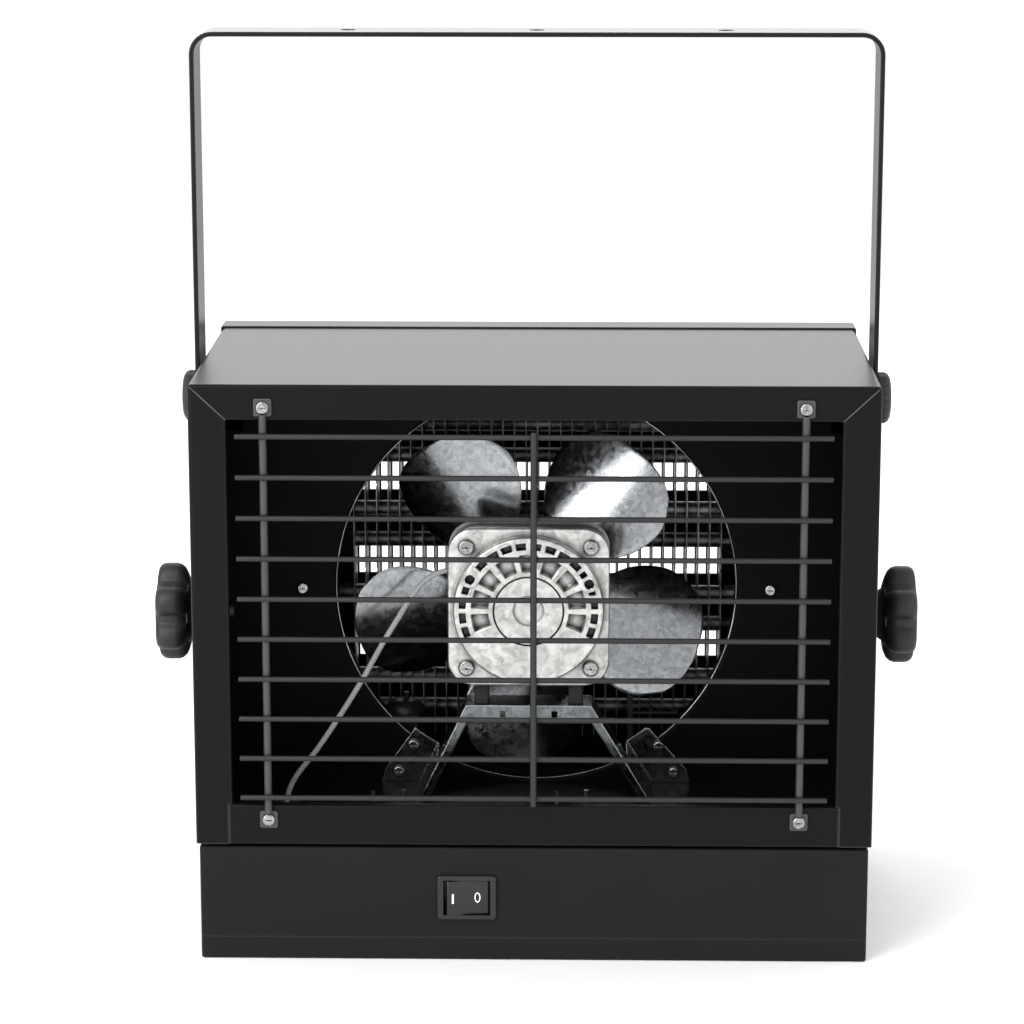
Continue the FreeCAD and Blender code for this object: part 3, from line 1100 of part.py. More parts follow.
def star_knob():
    """Lobed hand knob on the right, moulded round its pivot stud."""
    x0 = STRAP_OUT + APART
    x1 = x0 + STAR_LEN
    lobe_r = 8.0
    head = rod((x0 + 6, 0, PIVOT_Z), X_AXIS, STAR_R - 6.5, STAR_LEN - 6)
    lobes = []
    for i in range(STAR_LOBES):
        a = math.radians(360.0 * i / STAR_LOBES + 90)
        r = STAR_R - lobe_r
        lobes.append(rod((x0 + 6, r * math.cos(a), PIVOT_Z + r * math.sin(a)), X_AXIS, lobe_r, STAR_LEN - 6))
    head = join(head, lobes)
    profile = [(0, x0 + 6), (15, x0 + 6), (STAR_R - 5, x0 + 8), (STAR_R - 1.2, x0 + 10.5), (STAR_R, x0 + 13),
               (STAR_R, x1 - 4), (STAR_R - 1.2, x1 - 1.6), (STAR_R - 4, x1), (0, x1)]
    head = head.common(revolve_x(profile, 0, PIVOT_Z))
    skirt = revolve_x([(0, x0), (11.5, x0), (12.5, x0 + 3), (17, x0 + 8), (0, x0 + 8)], 0, PIVOT_Z)
    dish = rod((x1 - 1.2, 0, PIVOT_Z), X_AXIS, 11, 2)
    stud = rod((HALF_W - 12, 0, PIVOT_Z), X_AXIS, STUD_R, x0 - HALF_W + 14)
    return join(head.cut(dish), [skirt, stud])


def pivot_washers():
    """Fibre washers between the casing sides and the strap."""
    washer = tube((HALF_W, 0, PIVOT_Z), X_AXIS, 12, STUD_R + 0.25, STRAP_GAP - APART)
    return both_sides(washer)


def pivot_nuts():
    """Weld nuts inside the casing sides."""
    x1 = HALF_W - SHEET
    turns = [math.radians(60 * i) for i in range(7)]
    points = [V(x1 - 6.5, 7.8 * math.cos(a), PIVOT_Z + 7.8 * math.sin(a)) for a in turns]
    nut = Part.Face(Part.makePolygon(points)).extrude(V(6.5, 0, 0))
    return both_sides(nut.cut(rod((x1 - 8, 0, PIVOT_Z), X_AXIS, STUD_R + RUN, 10)))


def lock_knob():
    """Round fluted lock screw on the right arm."""
    x0 = STRAP_OUT + APART
    x1 = x0 + LOCK_HEAD_T
    z = LOCK_Z
    profile = [(0, x0), (LOCK_HEAD_R - 1.5, x0), (LOCK_HEAD_R, x0 + 1.2), (LOCK_HEAD_R, x1 - 3.4),
               (LOCK_HEAD_R - 0.9, x1 - 1.5), (LOCK_HEAD_R - 3, x1 - 0.3), (LOCK_HEAD_R - 5, x1), (0, x1)]
    head = revolve_x(profile, 0, z)
    flutes = []
    for i in range(18):
        a = math.radians(20 * i)
        r = LOCK_HEAD_R + 0.7
        flutes.append(rod((x0 - 1, r * math.cos(a), z + r * math.sin(a)), X_AXIS, 1.2, LOCK_HEAD_T + 2))
    stud = rod((HALF_W - 9, 0, z), X_AXIS, LOCK_STUD_R, x0 - HALF_W + 11)
    return join(head.cut(flutes), [stud])


def lock_nuts():
    """Flanged sleeve nuts that ride in the arc slots with the bracket."""
    z = LOCK_Z
    flange_x = HALF_W - SHEET - APART
    flange = rod((flange_x - 5, 0, z), X_AXIS, 7.5, 5)
    sleeve = rod((flange_x - 1, 0, z), X_AXIS, LOCK_SLEEVE_R, STRAP_IN - flange_x + 1)
    nut = join(flange, [sleeve])
    return both_sides(nut.cut(rod((flange_x - 6, 0, z), X_AXIS, LOCK_STUD_R + RUN, 20)))


# ---- all nodes ---------------------------------------------------------------
def build():
    """Every node of the heater by name."""
    star = star_knob()
    lock = lock_knob()
    nodes = {
        "casing_wrap": casing_wrap(),
        "casing_floor": casing_floor(),
        "rear_panel": rear_panel(),
        "casing_screws": casing_screws(),
        "guard_wires": guard_wires(),
        "guard_rod_left": guard_rod(-1),
        "guard_rod_right": guard_rod(1),
        "guard_brace": guard_brace(),
        "guard_screws": guard_screws(),
        "orifice_plate": orifice_plate(),
        "motor_stand": motor_stand(),
        "plate_screws": plate_screws(),
        "mount_block_left": mount_block(-1),
        "mount_block_right": mount_block(1),
        "motor_front_shield": motor_front_shield(),
        "motor_rear_shield": motor_rear_shield(),
        "bearing_front": bearing(MOTOR_FRONT_Y + 4, CORE_Y0 - 2),
        "bearing_rear": bearing(REAR_SHIELD_Y - 5, REAR_SHIELD_Y + 2),
        "stator_core": stator_core(),
        "stator_coils": stator_coils(),
        "motor_screws": motor_screws(),
        "motor_shaft": motor_shaft(),
        "rotor": rotor(),
        "fan_wheel": fan_wheel(),
        "fan_hub": fan_hub(),
        "fan_set_screw": fan_set_screw(),
        "element_bracket_left": element_bracket(-BRACKET_X, -1),
        "element_bracket_right": element_bracket(BRACKET_X, 1),
        "element_links": element_links(),
        "supply_leads": supply_leads(),
        "thermal_cutout": thermal_cutout(),
        "cutout_bracket": cutout_bracket(),
        "fuse_link": fuse_link(),
        "floor_pins": floor_pins(),
        "motor_lead": motor_lead(),
        "lead_grommets": lead_grommets(),
        "base_box": base_box(),
        "base_back": base_back(),
        "base_pan": base_pan(),
        "base_screws": base_screws(),
        "switch_frame": switch_frame(),
        "rocker": rocker(),
        "switch_terminals": switch_terminals(),
        "terminal_block": terminal_block(),
        "terminal_screws": terminal_screws(),
        "cable_gland": cable_gland(),
        "gland_nut": gland_nut(),
        "bracket": bracket(),
        "star_knob_right": star,
        "star_knob_left": mirrored(star),
        "pivot_washers": pivot_washers(),
        "pivot_nuts": pivot_nuts(),
        "lock_knob_right": lock,
        "lock_knob_left": mirrored(lock),
        "lock_nuts": lock_nuts(),
    }
    element = heating_element()
    for i, z in enumerate(element_centres()):
        placed = element.copy()
        placed.translate(V(0, 0, z))
        nodes["heating_element_%d" % (i + 1)] = placed
    return nodes


os.makedirs("parts", exist_ok=True)
for name, shape in build().items():
    shape.exportStep("parts/%s.step" % name)
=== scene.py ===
import json
import logging
import math
from dataclasses import dataclass, field
from enum import Enum
from functools import cache
from typing import Any, Callable, ClassVar, Sequence

import bmesh
import bpy
from bmesh.types import BMesh
from bpy.types import Material, Mesh, Node, NodeSocket, NodeTree, Object
from mathutils import Matrix, Vector, noise


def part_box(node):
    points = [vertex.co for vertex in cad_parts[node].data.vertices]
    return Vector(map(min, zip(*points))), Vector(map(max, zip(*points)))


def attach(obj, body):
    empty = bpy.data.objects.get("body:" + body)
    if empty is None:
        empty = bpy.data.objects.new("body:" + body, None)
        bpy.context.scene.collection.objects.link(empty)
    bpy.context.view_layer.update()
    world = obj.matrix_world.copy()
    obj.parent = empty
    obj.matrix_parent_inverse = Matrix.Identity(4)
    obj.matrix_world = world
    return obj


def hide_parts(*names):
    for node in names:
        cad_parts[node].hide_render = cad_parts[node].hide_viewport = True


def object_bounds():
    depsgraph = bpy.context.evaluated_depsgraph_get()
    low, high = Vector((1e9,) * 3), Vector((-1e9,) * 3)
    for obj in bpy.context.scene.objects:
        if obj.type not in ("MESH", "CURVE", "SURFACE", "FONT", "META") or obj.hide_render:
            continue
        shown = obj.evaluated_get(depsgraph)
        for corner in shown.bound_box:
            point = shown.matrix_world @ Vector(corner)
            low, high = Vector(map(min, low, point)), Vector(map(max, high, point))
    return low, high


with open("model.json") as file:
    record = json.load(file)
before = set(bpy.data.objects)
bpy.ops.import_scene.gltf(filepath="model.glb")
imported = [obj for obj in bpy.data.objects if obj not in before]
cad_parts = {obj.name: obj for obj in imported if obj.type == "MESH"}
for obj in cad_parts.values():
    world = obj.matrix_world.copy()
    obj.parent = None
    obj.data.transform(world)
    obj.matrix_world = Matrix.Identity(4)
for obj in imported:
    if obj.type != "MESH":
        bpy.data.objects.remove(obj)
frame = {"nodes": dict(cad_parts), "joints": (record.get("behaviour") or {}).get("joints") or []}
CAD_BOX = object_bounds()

MM = 0.001
SHARP = math.radians(34)
log = logging.getLogger("heater")

Colour = tuple[float, float, float, float]
Ring = list[Vector]


# ---- shader helpers ----
def linear(code: str) -> Colour:
    """Turns an sRGB hex colour to Blender's linear colour.

    Args:
        code: Six hex digits after a hash sign.

    Returns:
        Linear red, green, blue and an alpha of 1.
    """
    parts = [int(code[i:i + 2], 16) / 255 for i in (1, 3, 5)]
    return (*[c / 12.92 if c <= 0.04045 else ((c + 0.055) / 1.055) ** 2.4 for c in parts], 1.0)


def add(tree: NodeTree, kind: str, settings: dict[Any, Any] | None = None,
        links: dict[Any, NodeSocket] | None = None) -> Node:
    """Adds one node with its settings and links.

    Args:
        tree: The node tree that gets the node.
        kind: The node's type name.
        settings: Node properties by name, and input values by name or number.
        links: Output sockets by the name or number of the input each one feeds.

    Returns:
        The new node.
    """
    node = tree.nodes.new(kind)
    for key, value in (settings or {}).items():
        if isinstance(key, str) and key in node.bl_rna.properties:
            setattr(node, key, value)
        else:
            node.inputs[key].default_value = value
    for key, source in (links or {}).items():
        tree.links.new(source, node.inputs[key])
    return node


def speckle(tree: NodeTree, place: NodeSocket, size: float, detail: float) -> NodeSocket:
    """Adds a noise pattern.

    Args:
        tree: The node tree that gets it.
        place: Position on the piece, in metres.
        size: Size of its spots in metres.
        detail: How many finer layers it has.

    Returns:
        Its strength, from 0 to 1.
    """
    made = add(tree, "ShaderNodeTexNoise", {"Scale": 1 / size, "Detail": detail}, {"Vector": place})
    return made.outputs["Fac"]


# ---- finishes ----
@dataclass(frozen=True)
class Finish:
    """A surface finish; each kind says how its nodes are laid."""

    name: str
    tint: str
    shade: str
    rough: tuple[float, float]
    made: ClassVar[dict[str, Material]] = {}

    def material(self) -> Material:
        """The finish's material, made once.

        Returns:
            A material with the finish's procedural nodes.
        """
        if self.name not in Finish.made:
            material = bpy.data.materials.new(self.name)
            material.use_nodes = True
            tree = material.node_tree
            place = add(tree, "ShaderNodeTexCoord").outputs["Object"]
            self.paint(tree, tree.nodes["Principled BSDF"], place)
            Finish.made[self.name] = material
        return Finish.made[self.name]

    def paint(self, tree: NodeTree, shader: Node, place: NodeSocket) -> None:
        """Lays the nodes that are particular to this finish.

        Args:
            tree: The material's node tree.
            shader: Its Principled shader.
            place: Position on the piece, in metres.
        """
        raise NotImplementedError

    def grade(self, tree: NodeTree, shader: Node, mask: NodeSocket, gloss: NodeSocket) -> Node:
        """Spreads the two colours and the two roughness values over the surface.

        Args:
            tree: The material's node tree.
            shader: Its Principled shader.
            mask: 0 where the shade shows and 1 where the tint does.
            gloss: 0 at the lower roughness and 1 at the higher.

        Returns:
            The mix node, so that a later layer can take its colour.
        """
        mix = add(tree, "ShaderNodeMix",
                  {"data_type": "RGBA", 6: linear(self.shade), 7: linear(self.tint)}, {0: mask})
        rough = add(tree, "ShaderNodeMapRange",
                    {"To Min": self.rough[0], "To Max": self.rough[1]}, {"Value": gloss})
        tree.links.new(mix.outputs[2], shader.inputs["Base Color"])
        tree.links.new(rough.outputs["Result"], shader.inputs["Roughness"])
        return mix

    def relief(self, tree: NodeTree, shader: Node, height: NodeSocket, strength: float, distance: float,
               soft: Node | None = None) -> None:
        """Raises the surface by a bump.

        Args:
            tree: The material's node tree.
            shader: Its Principled shader.
            height: The pattern that is raised.
            strength: How strongly it shows.
            distance: Its height in metres.
            soft: Bevel node whose rounded edges the bump starts from.
        """
        links = {"Height": height}
        if soft:
            links["Normal"] = soft.outputs["Normal"]
        bump = add(tree, "ShaderNodeBump", {"Strength": strength, "Distance": distance}, links)
        tree.links.new(bump.outputs["Normal"], shader.inputs["Normal"])

    def rim(self, tree: NodeTree, shader: Node, mix: Node, edge: str) -> Node:
        """Paints a highlight along the folded and cut edges: a lighter colour where the rounded normal bends
        away.

        Args:
            tree: The material's node tree.
            shader: Its Principled shader.
            mix: The mix node that holds the colour so far.
            edge: Hex colour of the painted highlight along the edges.

        Returns:
            The bevel node, so that a bump can start from its rounded edges.
        """
        soft = add(tree, "ShaderNodeBevel", {"samples": 6, "Radius": 1.2 * MM})
        flat = add(tree, "ShaderNodeNewGeometry")
        bend = add(tree, "ShaderNodeVectorMath", {"operation": "DOT_PRODUCT"},
                   {0: soft.outputs["Normal"], 1: flat.outputs["Normal"]})
        # Painted highlight: the mask mixes the edge colour into the base colour where the bevelled normal
        # leaves the flat one.
        highlight_mask = add(tree, "ShaderNodeMapRange", {"From Min": 0.995, "From Max": 0.85, "To Max": 0.8},
                   {"Value": bend.outputs["Value"]})
        painted_highlight = add(tree, "ShaderNodeMix", {"data_type": "RGBA", 7: linear(edge)},
                   {0: highlight_mask.outputs["Result"], 6: mix.outputs[2]})
        tree.links.new(painted_highlight.outputs[2], shader.inputs["Base Color"])
        return soft

    def dress(self, piece: Object) -> None:
        """Puts the finish on every material slot of a piece.

        Args:
            piece: The object to dress.
        """
        if not piece.material_slots:
            piece.data.materials.append(self.material())
        for slot in piece.material_slots:
            slot.material = self.material()


@dataclass(frozen=True)
class PowderCoat(Finish):
    """Baked powder coat: a fine orange peel, and a lighter colour along folded edges that is a painted
    highlight.
    """

    # Colour of the painted highlight along the edges.
    edge: str = "#4a4a4d"
    peel: float = 1.1 * MM
    level: float = 0.5

    def paint(self, tree: NodeTree, shader: Node, place: NodeSocket) -> None:
        """Peel in the bump, slow clouding in the colour, and a painted highlight along the edges.

        Args:
            tree: The material's node tree.
            shader: Its Principled shader.
            place: Position on the piece, in metres.
        """
        peel = speckle(tree, place, self.peel, 2.0)
        cloud = speckle(tree, place, 70 * MM, 3.0)
        mix = self.grade(tree, shader, cloud, peel)
        soft = self.rim(tree, shader, mix, self.edge)
        self.relief(tree, shader, peel, 0.25, 0.03 * MM, soft)
        shader.inputs["Specular IOR Level"].default_value = self.level


@dataclass(frozen=True)
class HotDipZinc(Finish):
    """Hot-dip galvanised or rolled bright sheet: frosty crystals that each catch the light differently, and a
    painted highlight along the edges.
    """

    crystal: float = 7.0 * MM
    # Colour of the painted highlight along the edges.
    edge: str = "#f4f5f6"
    metal: float = 1.0

    def paint(self, tree: NodeTree, shader: Node, place: NodeSocket) -> None:
        """Crystal cells in colour, gloss and slope, with rolling scratches over them, and a painted highlight
        along the edges.

        Args:
            tree: The material's node tree.
            shader: Its Principled shader.
            place: Position on the piece, in metres.
        """
        warp = add(tree, "ShaderNodeTexNoise", {"Scale": 1 / (4 * MM), "Detail": 3.0}, {"Vector": place})
        bent = add(tree, "ShaderNodeVectorMath", {"operation": "MULTIPLY_ADD", 1: (0.004, 0.004, 0.004)},
                   {0: warp.outputs["Color"], 2: place})
        cells = add(tree, "ShaderNodeTexVoronoi", {"Scale": 1 / self.crystal},
                    {"Vector": bent.outputs["Vector"]})
        tone = add(tree, "ShaderNodeSeparateColor", None, {"Color": cells.outputs["Color"]})
        fine = speckle(tree, place, 0.9 * MM, 4.0)
        mask = add(tree, "ShaderNodeMath", {"operation": "MULTIPLY_ADD", 1: 0.65},
                   {0: tone.outputs["Red"], 2: fine})
        span = add(tree, "ShaderNodeMapRange", {"From Min": 0.35, "From Max": 1.2},
                   {"Value": mask.outputs["Value"]})
        mix = self.grade(tree, shader, span.outputs["Result"], tone.outputs["Green"])
        soft = self.rim(tree, shader, mix, self.edge)
        self.relief(tree, shader, mask.outputs["Value"], 0.3, 0.04 * MM, soft)
        shader.inputs["Metallic"].default_value = self.metal


@dataclass(frozen=True)
class CastAluminium(Finish):
    """Die-cast aluminium as it leaves the die: pale, mottled by the metal's flow, with painted shade
    darkening its hollows.
    """

    flow: float = 5.0 * MM
    # Colour of the painted shade in the hollows.
    hollow_shade: str = "#2e2e2e"
    crevice: float = 5.0 * MM

    def paint(self, tree: NodeTree, shader: Node, place: NodeSocket) -> None:
        """Flow marks and painted shade in the hollows in colour, a fine sandy skin in the bump.

        Args:
            tree: The material's node tree.
            shader: Its Principled shader.
            place: Position on the piece, in metres.
        """
        flow = add(tree, "ShaderNodeTexNoise", {"Scale": 1 / self.flow, "Detail": 5.0, "Distortion": 0.6},
                   {"Vector": place})
        sand = speckle(tree, place, 0.6 * MM, 2.0)
        span = add(tree, "ShaderNodeMapRange", {"From Min": 0.3, "From Max": 0.65},
                   {"Value": flow.outputs["Fac"]})
        mix = self.grade(tree, shader, span.outputs["Result"], sand)
        # Painted shade: an occlusion mask darkens the colour towards the shade colour in hollows and pockets.
        hollow = add(tree, "ShaderNodeAmbientOcclusion", {"samples": 8, "Distance": self.crevice})
        painted_shade_mask = add(tree, "ShaderNodeMapRange", {"From Min": 0.45, "From Max": 0.9},
                    {"Value": hollow.outputs["AO"]})
        shaded_colour = add(tree, "ShaderNodeMix", {"data_type": "RGBA", 6: linear(self.hollow_shade)},
                   {0: painted_shade_mask.outputs["Result"], 7: mix.outputs[2]})
        tree.links.new(shaded_colour.outputs[2], shader.inputs["Base Color"])
        self.relief(tree, shader, sand, 0.4, 0.06 * MM)
        shader.inputs["Metallic"].default_value = 0.85


@dataclass(frozen=True)
class WornMetal(Finish):
    """Plated, ground or heat-stained metal: soft blotches of colour and a lay of fine lines."""

    blotch: float = 6.0 * MM
    lay: tuple[float, float, float] = (1.0, 1.0, 1.0)
    line: float = 0.5 * MM
    metal: float = 1.0

    def paint(self, tree: NodeTree, shader: Node, place: NodeSocket) -> None:
        """Blotches in colour, stretched lines in gloss and bump.

        Args:
            tree: The material's node tree.
            shader: Its Principled shader.
            place: Position on the piece, in metres.
        """
        blotch = speckle(tree, place, self.blotch, 4.0)
        along = add(tree, "ShaderNodeMapping", {"Scale": self.lay}, {"Vector": place})
        line = speckle(tree, along.outputs["Vector"], self.line, 3.0)
        span = add(tree, "ShaderNodeMapRange", {"From Min": 0.32, "From Max": 0.68}, {"Value": blotch})
        self.grade(tree, shader, span.outputs["Result"], line)
        self.relief(tree, shader, line, 0.2, 0.03 * MM)
        shader.inputs["Metallic"].default_value = self.metal


@dataclass(frozen=True)
class Layered(Finish):
    """Stacked or wound metal: even bands a known pitch apart, such as laminations or wire turns."""

    pitch: float = 1.0 * MM
    axis: str = "Y"
    metal: float = 0.9

    def paint(self, tree: NodeTree, shader: Node, place: NodeSocket) -> None:
        """Bands in colour and bump, blurred by a little noise.

        Args:
            tree: The material's node tree.
            shader: Its Principled shader.
            place: Position on the piece, in metres.
        """
        band = add(tree, "ShaderNodeTexWave", {"bands_direction": self.axis, "Scale": 0.314 / self.pitch,
                                               "Distortion": 0.4, "Detail": 1.0}, {"Vector": place})
        dust = speckle(tree, place, 3 * MM, 3.0)
        self.grade(tree, shader, band.outputs["Fac"], dust)
        self.relief(tree, shader, band.outputs["Fac"], 0.6, 0.1 * MM)
        shader.inputs["Metallic"].default_value = self.metal


@dataclass(frozen=True)
class Braid(Finish):
    """Woven glass-fibre sleeve: two sets of strands crossing on the slant."""

    strand: float = 1.3 * MM

    def paint(self, tree: NodeTree, shader: Node, place: NodeSocket) -> None:
        """Crossed strands in colour and bump.

        Args:
            tree: The material's node tree.
            shader: Its Principled shader.
            place: Position on the piece, in metres.
        """
        sets = []
        for lean in (0.0, 90.0):
            turned = add(tree, "ShaderNodeMapping", {"Rotation": (0.4, math.radians(lean), 0.4)},
                         {"Vector": place})
            wave = add(tree, "ShaderNodeTexWave", {"Scale": 0.314 / self.strand, "Distortion": 0.8},
                       {"Vector": turned.outputs["Vector"]})
            sets.append(wave.outputs["Fac"])
        cross = add(tree, "ShaderNodeMath", {"operation": "MAXIMUM"}, {0: sets[0], 1: sets[1]})
        self.grade(tree, shader, cross.outputs["Value"], sets[0])
        self.relief(tree, shader, cross.outputs["Value"], 0.6, 0.15 * MM)


@dataclass(frozen=True)
class Moulded(Finish):
    """Moulded nylon, phenolic, rubber, fibre or cured ink: a fine grain from the tool."""

    grain: float = 0.5 * MM
    depth: float = 0.04 * MM

    def paint(self, tree: NodeTree, shader: Node, place: NodeSocket) -> None:
        """Tool grain in the bump, faint flow in the colour.

        Args:
            tree: The material's node tree.
            shader: Its Principled shader.
            place: Position on the piece, in metres.
        """
        grain = speckle(tree, place, self.grain, 3.0)
        flow = speckle(tree, place, 14 * MM, 2.0)
        self.grade(tree, shader, flow, grain)
        self.relief(tree, shader, grain, 0.3, self.depth)


# Satin black powder coat on folded sheet: near black, with a soft sheen at a low angle and a painted
# highlight along its edges.
CASING = PowderCoat("satin_powder_coat_casing", "#101012", "#0b0b0d", (0.28, 0.4), "#57575d", level=0.11)
# Light grey along the mitre joints of the front frame: a painted highlight on the black powder coat.
MITRE_HIGHLIGHT = PowderCoat("painted_highlight_at_mitre", "#5c5c60", "#4a4a4e", (0.25, 0.35), "#707076", level=0.3)
# Finer, flatter powder coat on the control base: a touch greyer than the casing, with a painted highlight
# along its edges.
BASE = PowderCoat("matt_powder_coat_base", "#1b1b1d", "#151517", (0.48, 0.58), "#37373a", 0.8 * MM, 0.12)
# Enamel on drawn wire: thicker and rounder, so a soft line of light runs along each wire; its edge colour is
# a painted highlight.
WIRE = PowderCoat("enamelled_drawn_wire", "#232325", "#1a1a1b", (0.34, 0.44), "#3a3a3c", 0.7 * MM, 0.4)
# The same enamel on the thicker rods takes a longer, brighter highlight, painted in as a lighter tint than
# the wire's and a painted highlight along the edges.
ROD = PowderCoat("enamelled_guard_rod", "#3c3c3e", "#2f2f31", (0.26, 0.36), "#525255", 0.7 * MM, 0.5)
# Semi-gloss coat on the rolled strap: a painted highlight along its edges, and its gloss shines on the flat
# top.
STRAP = PowderCoat("semi_gloss_powder_coat_strap", "#161618", "#101012", (0.26, 0.36), "#46464a", level=0.16)
# Bright steel ring on the rolled collar: a painted highlight.
COLLAR_HIGHLIGHT = WornMetal("painted_highlight_collar_lip", "#c4c4c4", "#5e5e60", (0.2, 0.34), 22 * MM)
# Flat heat-resistant paint inside: swallows light, with a painted highlight along its edges and the collar's
# curve.
INNER = PowderCoat("flat_stove_paint_inside", "#09090a", "#050506", (0.42, 0.55), "#26262a", 0.9 * MM, 0.06)
# Bright zinc plate on screws: small hard sparkles on the heads.
ZINC = WornMetal("bright_zinc_plate", "#b4b6b4", "#7f8280", (0.14, 0.26), 1.6 * MM)
# Galvanised strip of the motor stand: large dull crystals, with a painted highlight along its edges.
GALVANISED = HotDipZinc("hot_dip_galvanised_strip", "#7c8083", "#55595b", (0.15, 0.28), 3.0 * MM)
# Die-cast end shields of the motor: chalky white metal, with painted shade in its hollows.
CAST = CastAluminium("die_cast_aluminium", "#e2e2e0", "#a4a4a2", (0.34, 0.5))
# Bright rolled sheet of the fan blades: silvery with faint crystals and a painted highlight along the edges.
BLADE = HotDipZinc("bright_rolled_blade_sheet", "#a9abae", "#85888b", (0.15, 0.27), 2.6 * MM, "#e6e7e9")
# Varnished stack of stamped steel.
STACK = Layered("varnished_lamination_stack", "#8b8d8f", "#4d4f51", (0.35, 0.5), 1.2 * MM)
# Enamelled copper wire, layer on layer.
COPPER = Layered("enamelled_copper_wire", "#b5622c", "#6e3514", (0.25, 0.38), 0.9 * MM, "X")
# Oil-filled sintered bronze: dull, grainy gold.
BRONZE = WornMetal("sintered_bronze", "#a98552", "#7d5f36", (0.42, 0.58), 2 * MM)
# Ground steel shaft: fine rings round it.
GROUND = WornMetal("ground_steel", "#c8c9ca", "#a2a4a6", (0.18, 0.3), 8 * MM, (0.2, 6.0, 0.2))
# Plain steel fins and tubes after many heatings: grey with straw and blue-brown stains.
HEATED = WornMetal("heat_stained_steel", "#9b9a98", "#4a4441", (0.34, 0.55), 9 * MM, (1.0, 1.0, 0.15),
                   0.8 * MM, 0.9)
# Tin on brass terminals: warm silver.
TIN = WornMetal("tinned_brass", "#d8cfae", "#b39f6d", (0.28, 0.42), 4 * MM)
# Woven glass sleeve on the leads: soft grey.
SLEEVE = Braid("woven_glass_sleeve", "#a5a6a8", "#66676a", (0.7, 0.85))
# Moulded rubber: deep matt black.
RUBBER = Moulded("moulded_rubber", "#1a1a1a", "#121212", (0.68, 0.82), 0.7 * MM)
# Compression-moulded phenolic: hard black with a dull shine.
PHENOLIC = Moulded("moulded_phenolic", "#222224", "#18181a", (0.38, 0.5), 1.4 * MM)
# Injection-moulded nylon of the switch: smooth, semi-gloss.
SWITCH = Moulded("gloss_moulded_nylon", "#19191b", "#141416", (0.24, 0.32), 0.8 * MM, 0.01 * MM)
# Textured nylon of the hand knobs: spark-eroded grain that scatters the light.
KNOB = Moulded("textured_moulded_nylon", "#1c1c1e", "#151517", (0.46, 0.6), 0.9 * MM, 0.08 * MM)
# Vulcanised fibre washers: brown-grey board.
FIBRE = Moulded("vulcanised_fibre", "#4b4339", "#393229", (0.6, 0.75), 0.6 * MM)
# White pad-printed ink on the rocker.
INK = Moulded("pad_printed_ink", "#f0f0ec", "#dcdcd6", (0.5, 0.6), 0.6 * MM, 0.01 * MM)
# Matt painted sweep under the heater.
FLOOR = Moulded("matt_painted_floor", "#fdfdfc", "#f9f9f8", (0.75, 0.85), 4 * MM, 0.02 * MM)


# ---- mesh helpers ----
def closed_mesh(name: str, bm: BMesh) -> Mesh:
    """Turns a finished bmesh to a mesh with smooth faces and sharp corners kept.

    Args:
        name: The mesh's name.
        bm: The bmesh, freed here.

    Returns:
        The mesh.
    """
    bmesh.ops.remove_doubles(bm, verts=bm.verts, dist=1e-6)
    bmesh.ops.recalc_face_normals(bm, faces=bm.faces)
    mesh = bpy.data.meshes.new(name)
    bm.to_mesh(mesh)
    bm.free()
    mesh.polygons.foreach_set("use_smooth", [True] * len(mesh.polygons))
    mesh.set_sharp_from_angle(angle=SHARP)
    return mesh


def loft(bm: BMesh, rings: Sequence[Ring], loop: bool = False) -> None:
    """Skins a row of closed rings.

    Args:
        bm: The bmesh that gets the faces.
        rings: Rings with the same number of points.
        loop: Joins the last ring to the first; without it both ends are capped.
    """
    rows = [[bm.verts.new(p) for p in ring] for ring in rings]
    count = len(rows[0])
    for near, far in zip(rows, rows[1:] + rows[:1] if loop else rows[1:]):
        for i in range(count):
            j = (i + 1) % count
            bm.faces.new((near[i], near[j], far[j], far[i]))
    if not loop:
        bm.faces.new(list(reversed(rows[0])))
        bm.faces.new(rows[-1])


def turns(count: int) -> list[float]:
    """Angles in radians that part a full turn evenly."""
    return [2 * math.pi * k / count for k in range(count)]


def smooth_step(value: float) -> float:
    """Eases a value held between 0 and 1."""
    t = min(max(value, 0.0), 1.0)
    return t * t * (3 - 2 * t)


def through(points: Sequence[tuple[float, float]], x: float) -> float:
    """Reads a smooth curve through points, by Catmull-Rom.

    Args:
        points: (x, y) pairs, x rising.
        x: Where to read it.

    Returns:
        The curve's y there.
    """
    last = len(points) - 1
    k = max(i for i in range(last) if points[i][0] <= x or i == 0)
    (x0, y0), (x1, y1) = points[k], points[k + 1]
    t = min(max((x - x0) / (x1 - x0), 0.0), 1.0)
    before, after = points[max(k - 1, 0)][1], points[min(k + 2, last)][1]
    m0, m1 = (y1 - before) / 2, (after - y0) / 2
    return ((2 * t**3 - 3 * t**2 + 1) * y0 + (t**3 - 2 * t**2 + t) * m0
            + (3 * t**2 - 2 * t**3) * y1 + (t**3 - t**2) * m1)


@cache
def extent(node: str) -> tuple[Vector, Vector]:
    """Low and high corners of a CAD node's box, measured once."""
    low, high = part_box(node)
    return Vector(low), Vector(high)


def middle(node: str) -> Vector:
    """Middle of a CAD node's box."""
    low, high = extent(node)
    return (low + high) / 2


# ---- sub-assemblies ----
class Side(Enum):
    """Which side of the heater a piece is on."""

    LEFT = -1
    RIGHT = 1

    @property
    def word(self) -> str:
        """The side's name in lower case."""
        return self.name.lower()


